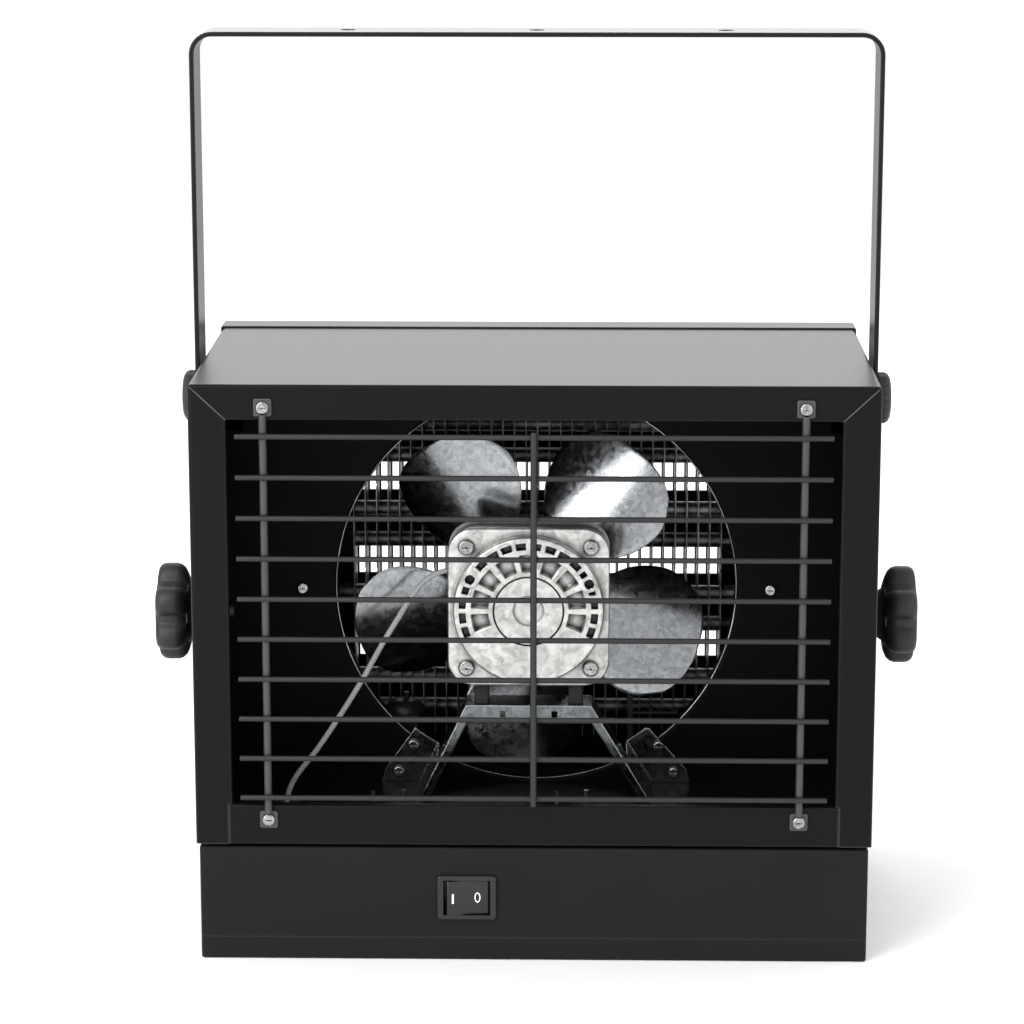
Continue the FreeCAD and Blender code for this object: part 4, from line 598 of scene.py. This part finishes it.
@dataclass
class SubAssembly:
    """Pieces that belong together on one body."""

    body: str = "housing"
    made: list[str] = field(default_factory=list)

    def keep(self, finish: Finish, *nodes: str) -> None:
        """Dresses CAD nodes whose shape stays.

        Args:
            finish: The finish they get.
            nodes: The nodes' names.
        """
        for node in nodes:
            finish.dress(frame["nodes"][node])
            self.made.append(node)

    def piece(self, mesh: Mesh, finish: Finish, slot: str, *nodes: str) -> Object:
        """Places a new mesh, dresses it and lets it ride.

        Args:
            mesh: The mesh, in the frame's metres; the piece takes its name.
            finish: The finish it gets.
            slot: The record's material slot. Not used.
            nodes: CAD nodes it stands for.

        Returns:
            The new object.
        """
        made = bpy.data.objects.new(mesh.name, mesh)
        bpy.context.scene.collection.objects.link(made)
        finish.dress(made)
        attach(made, self.body)
        if nodes:
            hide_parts(*nodes)
        self.made.append(made.name)
        return made

    def build(self) -> None:
        """Makes and dresses every piece."""
        raise NotImplementedError

    def report(self) -> None:
        """Logs each piece that was made or dressed."""
        for name in self.made:
            log.info("%s on %s", name, self.body)


@dataclass
class Casing(SubAssembly):
    """Folded steel casing, its rear cover and the bulkhead; light grey beads along the mitred corners are a
    painted highlight.
    """

    frame_wide: float = 19.5 * MM
    frame_tall: float = 18.3 * MM
    start: float = 1.6 * MM
    bead: float = 0.32 * MM
    proud: float = 0.12 * MM
    throat: float = 109.5 * MM
    lip_depth: float = 0.9 * MM
    lip_out: float = 0.75 * MM
    lip_wire: float = 0.6 * MM

    def mitres(self) -> Mesh:
        """Two light beads along the joints of the front frame, coloured as a painted highlight.

        Returns:
            Their mesh.
        """
        low, high = extent("casing_wrap")
        bm = bmesh.new()
        for side in Side:
            corner = Vector((high.x if side is Side.RIGHT else low.x, low.y, high.z))
            run = Vector((-side.value * self.frame_wide, 0, -self.frame_tall))
            ahead = run.normalized()
            across = Vector((-ahead.z, 0, ahead.x)) * self.bead
            rings = []
            for step in range(13):
                share = step / 12
                place = corner + ahead * self.start + (run - ahead * self.start) * share
                swell = 0.75 + 0.25 * math.sin(math.pi * share)
                rings.append([place + across * math.cos(a) * swell - Vector((0, self.proud * math.sin(a), 0))
                              for a in turns(10)])
            loft(bm, rings)
        return closed_mesh("frame_mitres", bm)

    def lip(self) -> Mesh:
        """Bright ring round the throat of the fan orifice, a painted highlight whose width swells and thins
        along the turn.

        Returns:
            Its mesh.
        """
        low, _ = extent("orifice_plate")
        axis = middle("fan_hub")
        rings = []
        for turn in turns(240):
            out = Vector((math.cos(turn), 0, math.sin(turn)))
            # Wire radius of the painted highlight ring, varied along the turn.
            painted_highlight = self.lip_wire * (0.75 + 0.35 * noise.noise(out * 2.5))
            spot = Vector((0, low.y + self.lip_depth, axis.z)) + out * (self.throat + self.lip_out)
            rings.append([spot + (out * math.cos(a) + Vector((0, math.sin(a), 0))) * painted_highlight for a in turns(12)])
        bm = bmesh.new()
        loft(bm, rings, loop=True)
        return closed_mesh("orifice_lip", bm)

    def build(self) -> None:
        """Dresses the sheet metal, lays the mitre beads and the lip ring, both painted highlights."""
        self.piece(self.mitres(), MITRE_HIGHLIGHT, "casing_black")
        self.keep(CASING, "casing_wrap", "casing_floor", "rear_panel")
        self.keep(ZINC, "casing_screws", "plate_screws", "pivot_nuts", "floor_pins")
        self.keep(INNER, "orifice_plate")
        self.piece(self.lip(), COLLAR_HIGHLIGHT, "plate_black")


@dataclass
class Guard(SubAssembly):
    """Wire guard with weld nuggets where wires cross."""

    nugget: float = 2.3 * MM
    squash: float = 0.55
    wires: int = 10

    def weld(self, bm: BMesh, centre: Vector, seed: int) -> None:
        """Adds one nugget, lumpy as a resistance weld is.

        Args:
            bm: The bmesh that gets it.
            centre: Its middle.
            seed: Shifts the lumps, so no two are alike.
        """
        made = bmesh.ops.create_icosphere(bm, subdivisions=3, radius=self.nugget)["verts"]
        for vert in made:
            lump = noise.noise(vert.co / (2 * MM) + Vector((seed, 0, 0))) * 0.25 + 1
            vert.co = Vector((vert.co.x, vert.co.y * self.squash, vert.co.z * 0.85)) * lump + centre

    def welds(self) -> Mesh:
        """Nuggets at every crossing.

        Returns:
            One mesh of thirty nuggets.
        """
        low, high = extent("guard_wires")
        radius = (high.y - low.y) / 2
        step = (high.z - low.z - 2 * radius) / (self.wires - 1)
        bm = bmesh.new()
        crossings = (("guard_rod_left", high.y), ("guard_brace", low.y), ("guard_rod_right", high.y))
        for seed, (upright, depth) in enumerate(crossings):
            for i in range(self.wires):
                place = Vector((middle(upright).x, depth, low.z + radius + i * step))
                self.weld(bm, place, seed * self.wires + i)
        return closed_mesh("guard_welds", bm)

    def build(self) -> None:
        """Dresses wires and rods, and adds the welds."""
        self.keep(WIRE, "guard_wires", "guard_brace")
        self.keep(ROD, "guard_rod_left", "guard_rod_right")
        self.keep(ZINC, "guard_screws")
        self.piece(self.welds(), WIRE, "guard_black")


@dataclass
class Motor(SubAssembly):
    """Shaded-pole motor; its front end shield is cast, with soft-edged pockets."""

    face: float = 40.5 * MM
    corner: float = 14 * MM
    edge: float = 1.6 * MM
    around: int = 360
    step: float = 0.35 * MM
    cavity: float = 31.5 * MM
    flange: float = 4 * MM
    rim_fillet: float = 0.8 * MM
    edge_fillet: float = 1.2 * MM
    rib_band: tuple[float, float] = (21.5 * MM, 31 * MM)
    rib_depth: float = 4.6 * MM
    bead_band: tuple[float, float] = (33.5 * MM, 37.5 * MM)
    bead_depth: float = 3.4 * MM
    groove: float = 18.8 * MM
    groove_depth: float = 0.9 * MM
    cup: float = 8.6 * MM
    cup_depth: float = 1.6 * MM
    bosses: tuple[float, float] = (151.0, 25.0)
    boss_circle: float = 35.8 * MM
    boss: float = 5.2 * MM
    boss_hole: float = 2.6 * MM
    boss_depth: float = 4.2 * MM

    def ring_of_pockets(self, r: float, turn: float, band: tuple[float, float], count: int, half: float,
                        start: float, gap: tuple[float, float]) -> float:
        """How far inside a pocket of one ring a point lies.

        Args:
            r: The point's radius.
            turn: Its angle in degrees.
            band: Inner and outer radius of the pockets.
            count: Pockets in a full ring.
            half: Half of one pocket, in degrees.
            start: Angle of the first pocket.
            gap: Span of degrees left without pockets.

        Returns:
            Distance inside the nearest pocket, negative outside.
        """
        pitch = 360 / count
        index = round((turn - start) / pitch)
        centre = (start + index * pitch) % 360
        if gap[0] < centre < gap[1]:
            return -1.0
        swing = math.radians(abs(turn - start - index * pitch))
        return min(r - band[0], band[1] - r, (math.radians(half) - swing) * r)

    def depth(self, r: float, turn: float) -> float:
        """Depth of the cast face below its rim.

        Args:
            r: Distance from the axis.
            turn: Angle in degrees, from +X towards +Z.

        Returns:
            Depth in metres.
        """
        ribs = self.ring_of_pockets(r, turn, self.rib_band, 14, 9.6, 12.8, (215, 325))
        beads = self.ring_of_pockets(r, turn, self.bead_band, 28, 4.6, 6.4, (200, 340))
        groove = (0.5 * MM - abs(r - self.groove)) / (0.4 * MM)
        deep = max(self.rib_depth * smooth_step(ribs / (1.1 * MM)),
                   self.bead_depth * smooth_step(beads / (0.8 * MM)),
                   self.groove_depth * smooth_step(groove),
                   self.cup_depth * smooth_step((self.cup - r) / (0.8 * MM)))
        deep += 0.25 * MM * smooth_step((18.0 * MM - r) / (3 * MM))
        circle = self.boss_circle
        for angle in self.bosses:
            away = math.radians(turn - angle)
            off = math.sqrt(max(r * r + circle**2 - 2 * r * circle * math.cos(away), 0.0))
            inside = smooth_step((self.boss - off) / (0.7 * MM))
            deep = deep * (1 - inside) - 0.5 * MM * inside
            deep += self.boss_depth * smooth_step((self.boss_hole - off) / (0.5 * MM))
        return deep

    def square(self, turn: float, inset: float) -> float:
        """Distance from the axis to the flange's rounded-square edge.

        Args:
            turn: Angle in radians.
            inset: How far inside the edge.

        Returns:
            The distance along that direction.
        """
        low, high = extent("motor_front_shield")
        half = (high.x - low.x) / 2 - inset
        radius = self.corner - inset
        c, s = sorted((abs(math.cos(turn)), abs(math.sin(turn))), reverse=True)
        reach = half / c
        if reach * s <= half - radius:
            return reach
        q = half - radius
        along = q * (c + s)
        return along + math.sqrt(max(along * along - 2 * q * q + radius * radius, 0.0))

    def shield(self) -> Mesh:
        """The cast front shield as one closed skin.

        Returns:
            Its mesh.
        """
        low, high = extent("motor_front_shield")
        axis, front, flange, back = middle("motor_front_shield"), low.y, high.y - self.flange, high.y
        around = turns(self.around)

        def ring(radius: Callable[[float], float], depth: Callable[[float], float]) -> Ring:
            """One ring about the axis."""
            return [Vector((axis.x + radius(t) * math.cos(t), depth(t), axis.z + radius(t) * math.sin(t)))
                    for t in around]

        rings = []
        flat = self.face - self.edge
        for k in range(1, int(flat / self.step) + 1):
            r = k * self.step
            rings.append(ring(lambda t: r, lambda t: front + self.depth(r, math.degrees(t))))
        for k in range(1, 6):
            a = math.radians(18 * k)
            rings.append(ring(lambda t: flat + self.edge * math.sin(a),
                              lambda t: front + self.edge * (1 - math.cos(a))))
        for k in range(5):
            a = math.radians(22.5 * k)
            rings.append(ring(lambda t: self.face + self.rim_fillet * (1 - math.cos(a)),
                              lambda t: flange - self.rim_fillet * (1 - math.sin(a))))
        for k in range(6):
            a = math.radians(18 * k)
            rings.append(ring(lambda t: self.square(t, self.edge_fillet * (1 - math.sin(a))),
                              lambda t: flange + self.edge_fillet * (1 - math.cos(a))))
        rings.append(ring(lambda t: self.square(t, 0), lambda t: back))
        hollow = ((self.cavity, back), (self.cavity, flange - MM), (11 * MM, flange - MM),
                  (11 * MM, back - 1.5 * MM), (7 * MM, back - 1.5 * MM), (7 * MM, front + 2 * MM),
                  (2 * MM, front + 2 * MM))
        rings += [ring(lambda t: radius, lambda t: depth) for radius, depth in hollow]
        bm = bmesh.new()
        loft(bm, rings)
        return closed_mesh("motor_cast_shield", bm)

    def build(self) -> None:
        """Casts the shield and dresses the rest of the motor."""
        self.piece(self.shield(), CAST, "cast_alloy", "motor_front_shield")
        self.keep(CAST, "motor_rear_shield")
        self.keep(STACK, "stator_core")
        self.keep(COPPER, "stator_coils")
        self.keep(BRONZE, "bearing_front", "bearing_rear")
        self.keep(ZINC, "motor_screws")
        self.keep(SLEEVE, "motor_lead")
        self.keep(RUBBER, "mount_block_left", "mount_block_right", "lead_grommets")


@dataclass
class Stand(SubAssembly):
    """Folded galvanised stand under the motor."""

    def build(self) -> None:
        """Dresses the stand."""
        self.keep(GALVANISED, "motor_stand")


@dataclass
class Fan(SubAssembly):
    """Five-blade wheel, pressed from bright sheet and riveted to a turned hub."""

    body: str = "fan"
    blades: int = 5
    start: float = -90.0
    pitch: float = 24.0
    camber: float = 95 * MM
    sheet: float = 1.2 * MM
    rolled: float = 0.9 * MM
    thin: float = 0.35
    root: float = 18 * MM
    outline: tuple[tuple[float, float], ...] = (
        (18, 13), (32, 17), (51, 31.8), (70.6, 37), (88.2, 30.3), (94.5, 21), (98, 10))
    disc: tuple[tuple[float, float], ...] = (
        (9.05, -0.4), (27, -0.4), (29.4, 0.2), (30, 0.9), (29.4, 1.4), (27, 1.2), (9.05, 1.2))
    rivet: float = 2.6 * MM
    rivet_circle: float = 24 * MM
    rivet_lean: float = 12.0
    rivet_head: tuple[tuple[float, float], ...] = ((1.0, -0.3), (1.0, -0.9), (0.8, -1.5), (0.35, -1.9))

    def centre(self) -> Vector:
        """Middle of the wheel on its axis."""
        low, _ = extent("fan_hub")
        axis = middle("fan_hub")
        return Vector((axis.x, low.y + 5 * MM, axis.z))

    def turned(self, place: Vector, angle: float) -> Vector:
        """Turns a point of the first blade to a blade's own direction.

        Args:
            place: A point about the wheel's middle, the blade along +X.
            angle: The blade's direction in degrees.

        Returns:
            The point in the frame.
        """
        return Matrix.Rotation(-math.radians(angle), 3, "Y") @ place + self.centre()

    def section(self, share: float, swell: float) -> Ring:
        """Closed section across a blade at one share of its length.

        Args:
            share: 0 at the root and 1 at the tip.
            swell: Thickness as a share of the sheet.

        Returns:
            Points about the wheel's middle, the blade along +X.
        """
        tip = self.outline[-1][0] * MM
        along = self.root + (tip - self.root) * share
        half = through(self.outline, along / MM) * MM
        steps = 26
        face = [-math.cos(math.pi * i / steps) for i in range(steps + 1)]
        pitch = Matrix.Rotation(-math.radians(self.pitch), 3, "X")
        points = []
        for side in (-1, 1):
            for t in face if side < 0 else reversed(face):
                wide = t * half
                rim = smooth_step((half - abs(wide)) / self.rolled)
                bow = self.camber - math.sqrt(self.camber**2 - wide**2) + self.sheet / 2
                rise = bow + side * self.sheet / 2 * swell * (self.thin + (1 - self.thin) * rim)
                point = pitch @ Vector((along, rise, wide))
                reach = math.hypot(point.x, point.z)
                if reach > tip:
                    point.x *= tip / reach
                    point.z *= tip / reach
                points.append(point)
        return points

    def wheel(self) -> Mesh:
        """All five blades with their rolled edges.

        Returns:
            One mesh of closed blades.
        """
        shares = [0.0, 0.004] + [i / 30 for i in range(1, 30)] + [0.99, 0.997, 1.0]
        swells = [0.5, 1.0] + [1.0] * 29 + [1.0, 0.8, 0.4]
        bm = bmesh.new()
        for i in range(self.blades):
            angle = self.start + 360 / self.blades * i
            loft(bm, [[self.turned(p, angle) for p in self.section(s, w)] for s, w in zip(shares, swells)])
        return closed_mesh("fan_blades", bm)

    def spider(self) -> Mesh:
        """Centre disc with a dished rim and two rivets for each blade.

        Returns:
            One mesh of the disc and its rivets.
        """
        bm = bmesh.new()
        loft(bm, [[self.turned(Vector((r * MM, y * MM, 0)), math.degrees(a)) for a in turns(96)]
                  for r, y in self.disc], loop=True)
        for i in range(self.blades * 2):
            aside = self.rivet_lean if i % 2 else -self.rivet_lean
            lean = self.start + 360 / self.blades * (i // 2) + aside
            loft(bm, [[self.turned(Vector((self.rivet_circle + math.cos(a) * share * self.rivet, y * MM,
                                           math.sin(a) * share * self.rivet)), lean)
                       for a in turns(20)] for share, y in self.rivet_head])
        return closed_mesh("fan_spider", bm)

    def build(self) -> None:
        """Presses the wheel and dresses the turning parts."""
        self.piece(self.wheel(), BLADE, "blade_alloy", "fan_wheel")
        self.piece(self.spider(), BLADE, "blade_alloy", "fan_wheel")
        self.keep(CAST, "fan_hub")
        self.keep(GROUND, "motor_shaft", "fan_set_screw")
        self.keep(STACK, "rotor")


@dataclass
class Elements(SubAssembly):
    """Four finned U-tube elements, their brackets, links and leads."""

    count: int = 4

    def build(self) -> None:
        """Dresses the elements and what carries them."""
        self.keep(HEATED, *[f"heating_element_{i + 1}" for i in range(self.count)])
        self.keep(INNER, "element_bracket_left", "element_bracket_right", "cutout_bracket")
        self.keep(TIN, "element_links")
        self.keep(SLEEVE, "supply_leads")
        self.keep(PHENOLIC, "thermal_cutout", "fuse_link")


@dataclass
class ControlBase(SubAssembly):
    """Control base with its wiring and cord entry."""

    def build(self) -> None:
        """Dresses the base and what it holds."""
        self.keep(BASE, "base_box", "base_back", "base_pan")
        self.keep(ZINC, "base_screws")
        self.keep(PHENOLIC, "terminal_block", "cable_gland", "gland_nut")
        self.keep(TIN, "terminal_screws", "switch_terminals")
        self.keep(SWITCH, "switch_frame")


@dataclass
class Rocker(SubAssembly):
    """Two-position rocker with its printed marks."""

    body: str = "rocker"
    half: float = 11.3 * MM
    crest: float = 5.5 * MM
    dip: float = 1.3 * MM
    tilt: float = 10.0
    pin: float = 1.5 * MM
    drop: float = 0.7 * MM
    soft_ends: tuple[tuple[float, float], ...] = (
        (-1, 0.6), (-0.985, 0.25), (-0.95, 0.05), (-0.9, 0.0),
        (0.9, 0.0), (0.95, 0.05), (0.985, 0.25), (1, 0.6))
    underside: tuple[tuple[float, float], ...] = ((7.0, 3.0), (2.4, 8.0), (-2.4, 8.0), (-7.0, 3.0))
    ink: float = 0.08 * MM
    # Bar: place across, half height, line width. Ring: place across, half width, half height, line width.
    bar: tuple[float, float, float] = (-8.3 * MM, 2.7 * MM, 1.1 * MM)
    ring: tuple[float, float, float, float] = (4.9 * MM, 1.3 * MM, 2.5 * MM, 0.6 * MM)

    def hinge(self) -> Vector:
        """The point that the rocker tips about."""
        joint = next(j for j in frame["joints"] if j["name"] == "rocker_press")
        return Vector(joint["pos_m"])

    def placed(self, x: float, y: float, z: float) -> Vector:
        """Takes a point about the hinge to the frame, tipped to its rest."""
        return Matrix.Rotation(math.radians(self.tilt), 3, "Z") @ Vector((x, y, z)) + self.hinge()

    def front(self, x: float) -> float:
        """Depth of the rocker's face at one place across it."""
        return -self.crest + self.dip * (1.03 - math.sqrt((x / self.half)**2 + 0.012))

    def seesaw(self) -> Mesh:
        """The rocker's body with soft ends, and its two pins.

        Returns:
            Its mesh.
        """
        low, high = extent("rocker")
        tall = (high.z - low.z) / 2 - 0.8 * MM
        bm = bmesh.new()
        rings = []
        for lift, inset in self.soft_ends:
            span = self.half - inset * MM * 0.6
            face = [span * (i / 12 - 1) for i in range(25)]
            outline = [(x, self.front(x) + inset * MM) for x in face]
            outline[0] = (-span, outline[0][1] + self.drop)
            outline[-1] = (span, outline[-1][1] + self.drop)
            outline += [(span, -MM), *[(x * MM, y * MM) for x, y in self.underside], (-span, -MM)]
            rings.append([self.placed(x, y, lift * tall) for x, y in outline])
        loft(bm, rings)
        reach = (high.z - low.z) / 2
        loft(bm, [[self.placed(math.cos(a) * self.pin * w, math.sin(a) * self.pin * w, z) for a in turns(24)]
                  for z, w in ((-reach, 0.85), (-reach + 0.3 * MM, 1), (reach - 0.3 * MM, 1), (reach, 0.85))])
        return closed_mesh("rocker_seesaw", bm)

    def strip(self, bm: BMesh, line: Sequence[tuple[float, float]], wide: float, loop: bool) -> None:
        """Lays a raised strip of ink along a line on the face.

        Args:
            bm: The bmesh that gets it.
            line: (x, z) points about the hinge.
            wide: The strip's width.
            loop: Whether the line closes on itself.
        """
        rings = []
        count = len(line)
        for i, (x, z) in enumerate(line):
            ahead, behind = line[(i + 1) % count], line[i - 1]
            if not loop:
                ahead, behind = line[min(i + 1, count - 1)], line[max(i - 1, 0)]
            run = Vector((ahead[0] - behind[0], ahead[1] - behind[1])).normalized() * wide / 2
            a, b = (x - run.y, z + run.x), (x + run.y, z - run.x)
            corners = ((a, self.ink / 2), (a, -self.ink), (b, -self.ink), (b, self.ink / 2))
            rings.append([self.placed(px, self.front(px) + up, pz) for (px, pz), up in corners])
        loft(bm, rings, loop)

    def marks(self) -> Mesh:
        """Printed bar and ring for on and off.

        Returns:
            Their mesh.
        """
        bm = bmesh.new()
        at, half, wide = self.bar
        self.strip(bm, [(at, (i / 4 - 1) * half) for i in range(9)], wide, False)
        at, across, half, wide = self.ring
        self.strip(bm, [(at + across * math.cos(a), half * math.sin(a)) for a in turns(40)], wide, True)
        return closed_mesh("rocker_marks", bm)

    def build(self) -> None:
        """Moulds the rocker and prints its marks."""
        self.piece(self.seesaw(), SWITCH, "switch_black", "rocker")
        self.piece(self.marks(), INK, "switch_black")


@dataclass
class StrapBracket(SubAssembly):
    """Strap bracket that the heater hangs from."""

    body: str = "bracket"

    def build(self) -> None:
        """Dresses the strap and its sleeve nuts."""
        self.keep(STRAP, "bracket")
        self.keep(ZINC, "lock_nuts")


@dataclass
class StarKnob(SubAssembly):
    """Six-lobed hand knob moulded on its stud."""

    side: Side = Side.RIGHT
    length: float = 24.0
    lobes: int = 6
    lobe_centre: float = 19.0
    lobe: float = 8.0
    waist: float = 20.5
    crisp: float = 1.1
    round_to: float = 16.0
    lobed_from: float = 23.0
    grip_radius: float = 27.0
    stud: float = 3.95
    stud_tip: float = 3.3
    around: int = 180
    profile: tuple[tuple[float, float], ...] = (
        (11.3, 0.0), (11.5, 0.3), (12.5, 3.0), (14.2, 5.6), (15.4, 6.3), (18.5, 6.6), (21.5, 7.4),
        (24.4, 8.8), (26.2, 10.8), (27.0, 13.2), (27.0, 18.8), (26.6, 20.8), (25.6, 22.3), (24.0, 23.3),
        (21.5, 23.8), (18.0, 24.0), (12.0, 24.0), (11.5, 23.9), (11.1, 23.5), (10.8, 22.9), (10.2, 22.8),
        (4.0, 22.8))

    def lobed(self, turn: float) -> float:
        """Radius of the grip at one angle, lobes blended into the waist.

        Args:
            turn: Angle in degrees.

        Returns:
            Radius in millimetres.
        """
        pitch = 360 / self.lobes
        off = math.radians((turn - 90 + pitch / 2) % pitch - pitch / 2)
        inside = self.lobe**2 - (self.lobe_centre * math.sin(off))**2
        bulge = self.lobe_centre * math.cos(off) + math.sqrt(inside) if inside > 0 else 0.0
        return math.log(math.exp(self.crisp * bulge) + math.exp(self.crisp * self.waist)) / self.crisp

    def grip(self) -> Mesh:
        """Stud, skirt and lobed head as one closed skin.

        Returns:
            Its mesh.
        """
        node = f"star_knob_{self.side.word}"
        low, high = extent(node)
        axis = middle(node)
        sign = self.side.value
        outer = high.x if sign > 0 else low.x
        tip = low.x if sign > 0 else high.x
        base = outer - sign * self.length * MM
        stations = [(self.stud_tip * MM, tip), (self.stud * MM, tip + sign * MM), (self.stud * MM, base)]
        stations += [(r * MM, base + sign * x * MM) for r, x in self.profile]
        rings = []
        for r, x in stations:
            blend = smooth_step((r / MM - self.round_to) / (self.lobed_from - self.round_to))
            ring = []
            for i in range(self.around):
                turn = 360 * i / self.around
                reach = r * (1 - blend + blend * self.lobed(turn) / self.grip_radius)
                ring.append(Vector((x, axis.y + reach * math.cos(math.radians(turn)),
                                    axis.z + reach * math.sin(math.radians(turn)))))
            rings.append(ring)
        bm = bmesh.new()
        loft(bm, rings)
        return closed_mesh(f"star_grip_{self.side.word}", bm)

    def build(self) -> None:
        """Moulds the knob."""
        self.body = f"star_knob_{self.side.word}"
        self.piece(self.grip(), KNOB, "knob_black", self.body)


@dataclass
class LockKnob(SubAssembly):
    """Fluted lock screw of the tilt."""

    side: Side = Side.RIGHT

    def build(self) -> None:
        """Dresses the knob."""
        self.body = f"lock_knob_{self.side.word}"
        self.keep(KNOB, self.body)


@dataclass
class PivotWashers(SubAssembly):
    """Fibre washers under the strap."""

    def build(self) -> None:
        """Dresses the washers."""
        self.keep(FIBRE, "pivot_washers")


# ---- studio ----
@dataclass
class Studio:
    """Pale floor, even light and the camera."""

    eye: tuple[float, float, float] = (0.0214, -1.800, 0.620)
    down: float = 12.47
    aside: float = -1.10
    lens: float = 118.8
    air: str = "#ffffff"
    glow: float = 1.04
    lamps: tuple[tuple[str, tuple[float, float, float], float, float], ...] = (
        ("key_softbox", (-0.9, -1.3, 1.6), 1.0, 20.0),
        ("side_softbox", (-1.15, -1.35, 0.62), 0.8, 11.0),
        ("fill_softbox", (1.4, -1.2, 0.8), 1.2, 6.0),
        ("back_softbox", (0.0, 1.7, 1.15), 1.5, 13.0))

    def camera(self) -> None:
        """Sets the camera where the heater is seen from."""
        data = bpy.data.cameras.new("camera")
        data.lens = self.lens
        data.clip_end = 50
        eye = bpy.data.objects.new("camera", data)
        down, aside = math.radians(self.down), math.radians(self.aside)
        ahead = Vector((math.sin(aside) * math.cos(down), math.cos(aside) * math.cos(down), -math.sin(down)))
        eye.location = self.eye
        eye.rotation_euler = ahead.to_track_quat("-Z", "Y").to_euler()
        bpy.context.scene.collection.objects.link(eye)
        bpy.context.scene.camera = eye

    def floor(self) -> None:
        """Lays the pale floor just under the base."""
        bm = bmesh.new()
        bmesh.ops.create_grid(bm, x_segments=8, y_segments=8, size=6.0)
        mesh = bpy.data.meshes.new("floor_sweep")
        bm.to_mesh(mesh)
        bm.free()
        ground = bpy.data.objects.new("floor_sweep", mesh)
        ground.location.z = CAD_BOX[0].z - 0.2 * MM
        bpy.context.scene.collection.objects.link(ground)
        FLOOR.dress(ground)

    def lights(self) -> None:
        """Hangs the soft boxes and fills the air with even light."""
        for name, place, size, watts in self.lamps:
            data = bpy.data.lights.new(name, "AREA")
            data.size = size
            data.energy = watts
            lamp = bpy.data.objects.new(name, data)
            lamp.location = place
            aim = Vector((0, 0, 0.2)) - Vector(place)
            lamp.rotation_euler = aim.to_track_quat("-Z", "Y").to_euler()
            bpy.context.scene.collection.objects.link(lamp)
        world = bpy.data.worlds.new("even_air")
        world.use_nodes = True
        back = world.node_tree.nodes["Background"]
        back.inputs["Color"].default_value = linear(self.air)
        back.inputs["Strength"].default_value = self.glow
        bpy.context.scene.world = world
        bpy.context.scene.view_settings.view_transform = "Standard"


def main() -> None:
    """Builds every sub-assembly, then the studio, and reports the pieces."""
    logging.basicConfig(level=logging.INFO, format="%(message)s")
    assemblies: list[SubAssembly] = [
        Casing(), Guard(), Motor(), Stand(), Fan(), Elements(), ControlBase(), Rocker(), StrapBracket(),
        PivotWashers()]
    assemblies += [kind(side=side) for kind in (StarKnob, LockKnob) for side in Side]
    for assembly in assemblies:
        assembly.build()
        assembly.report()
    studio = Studio()
    studio.camera()
    studio.floor()
    studio.lights()


if __name__ == "__main__":
    main()
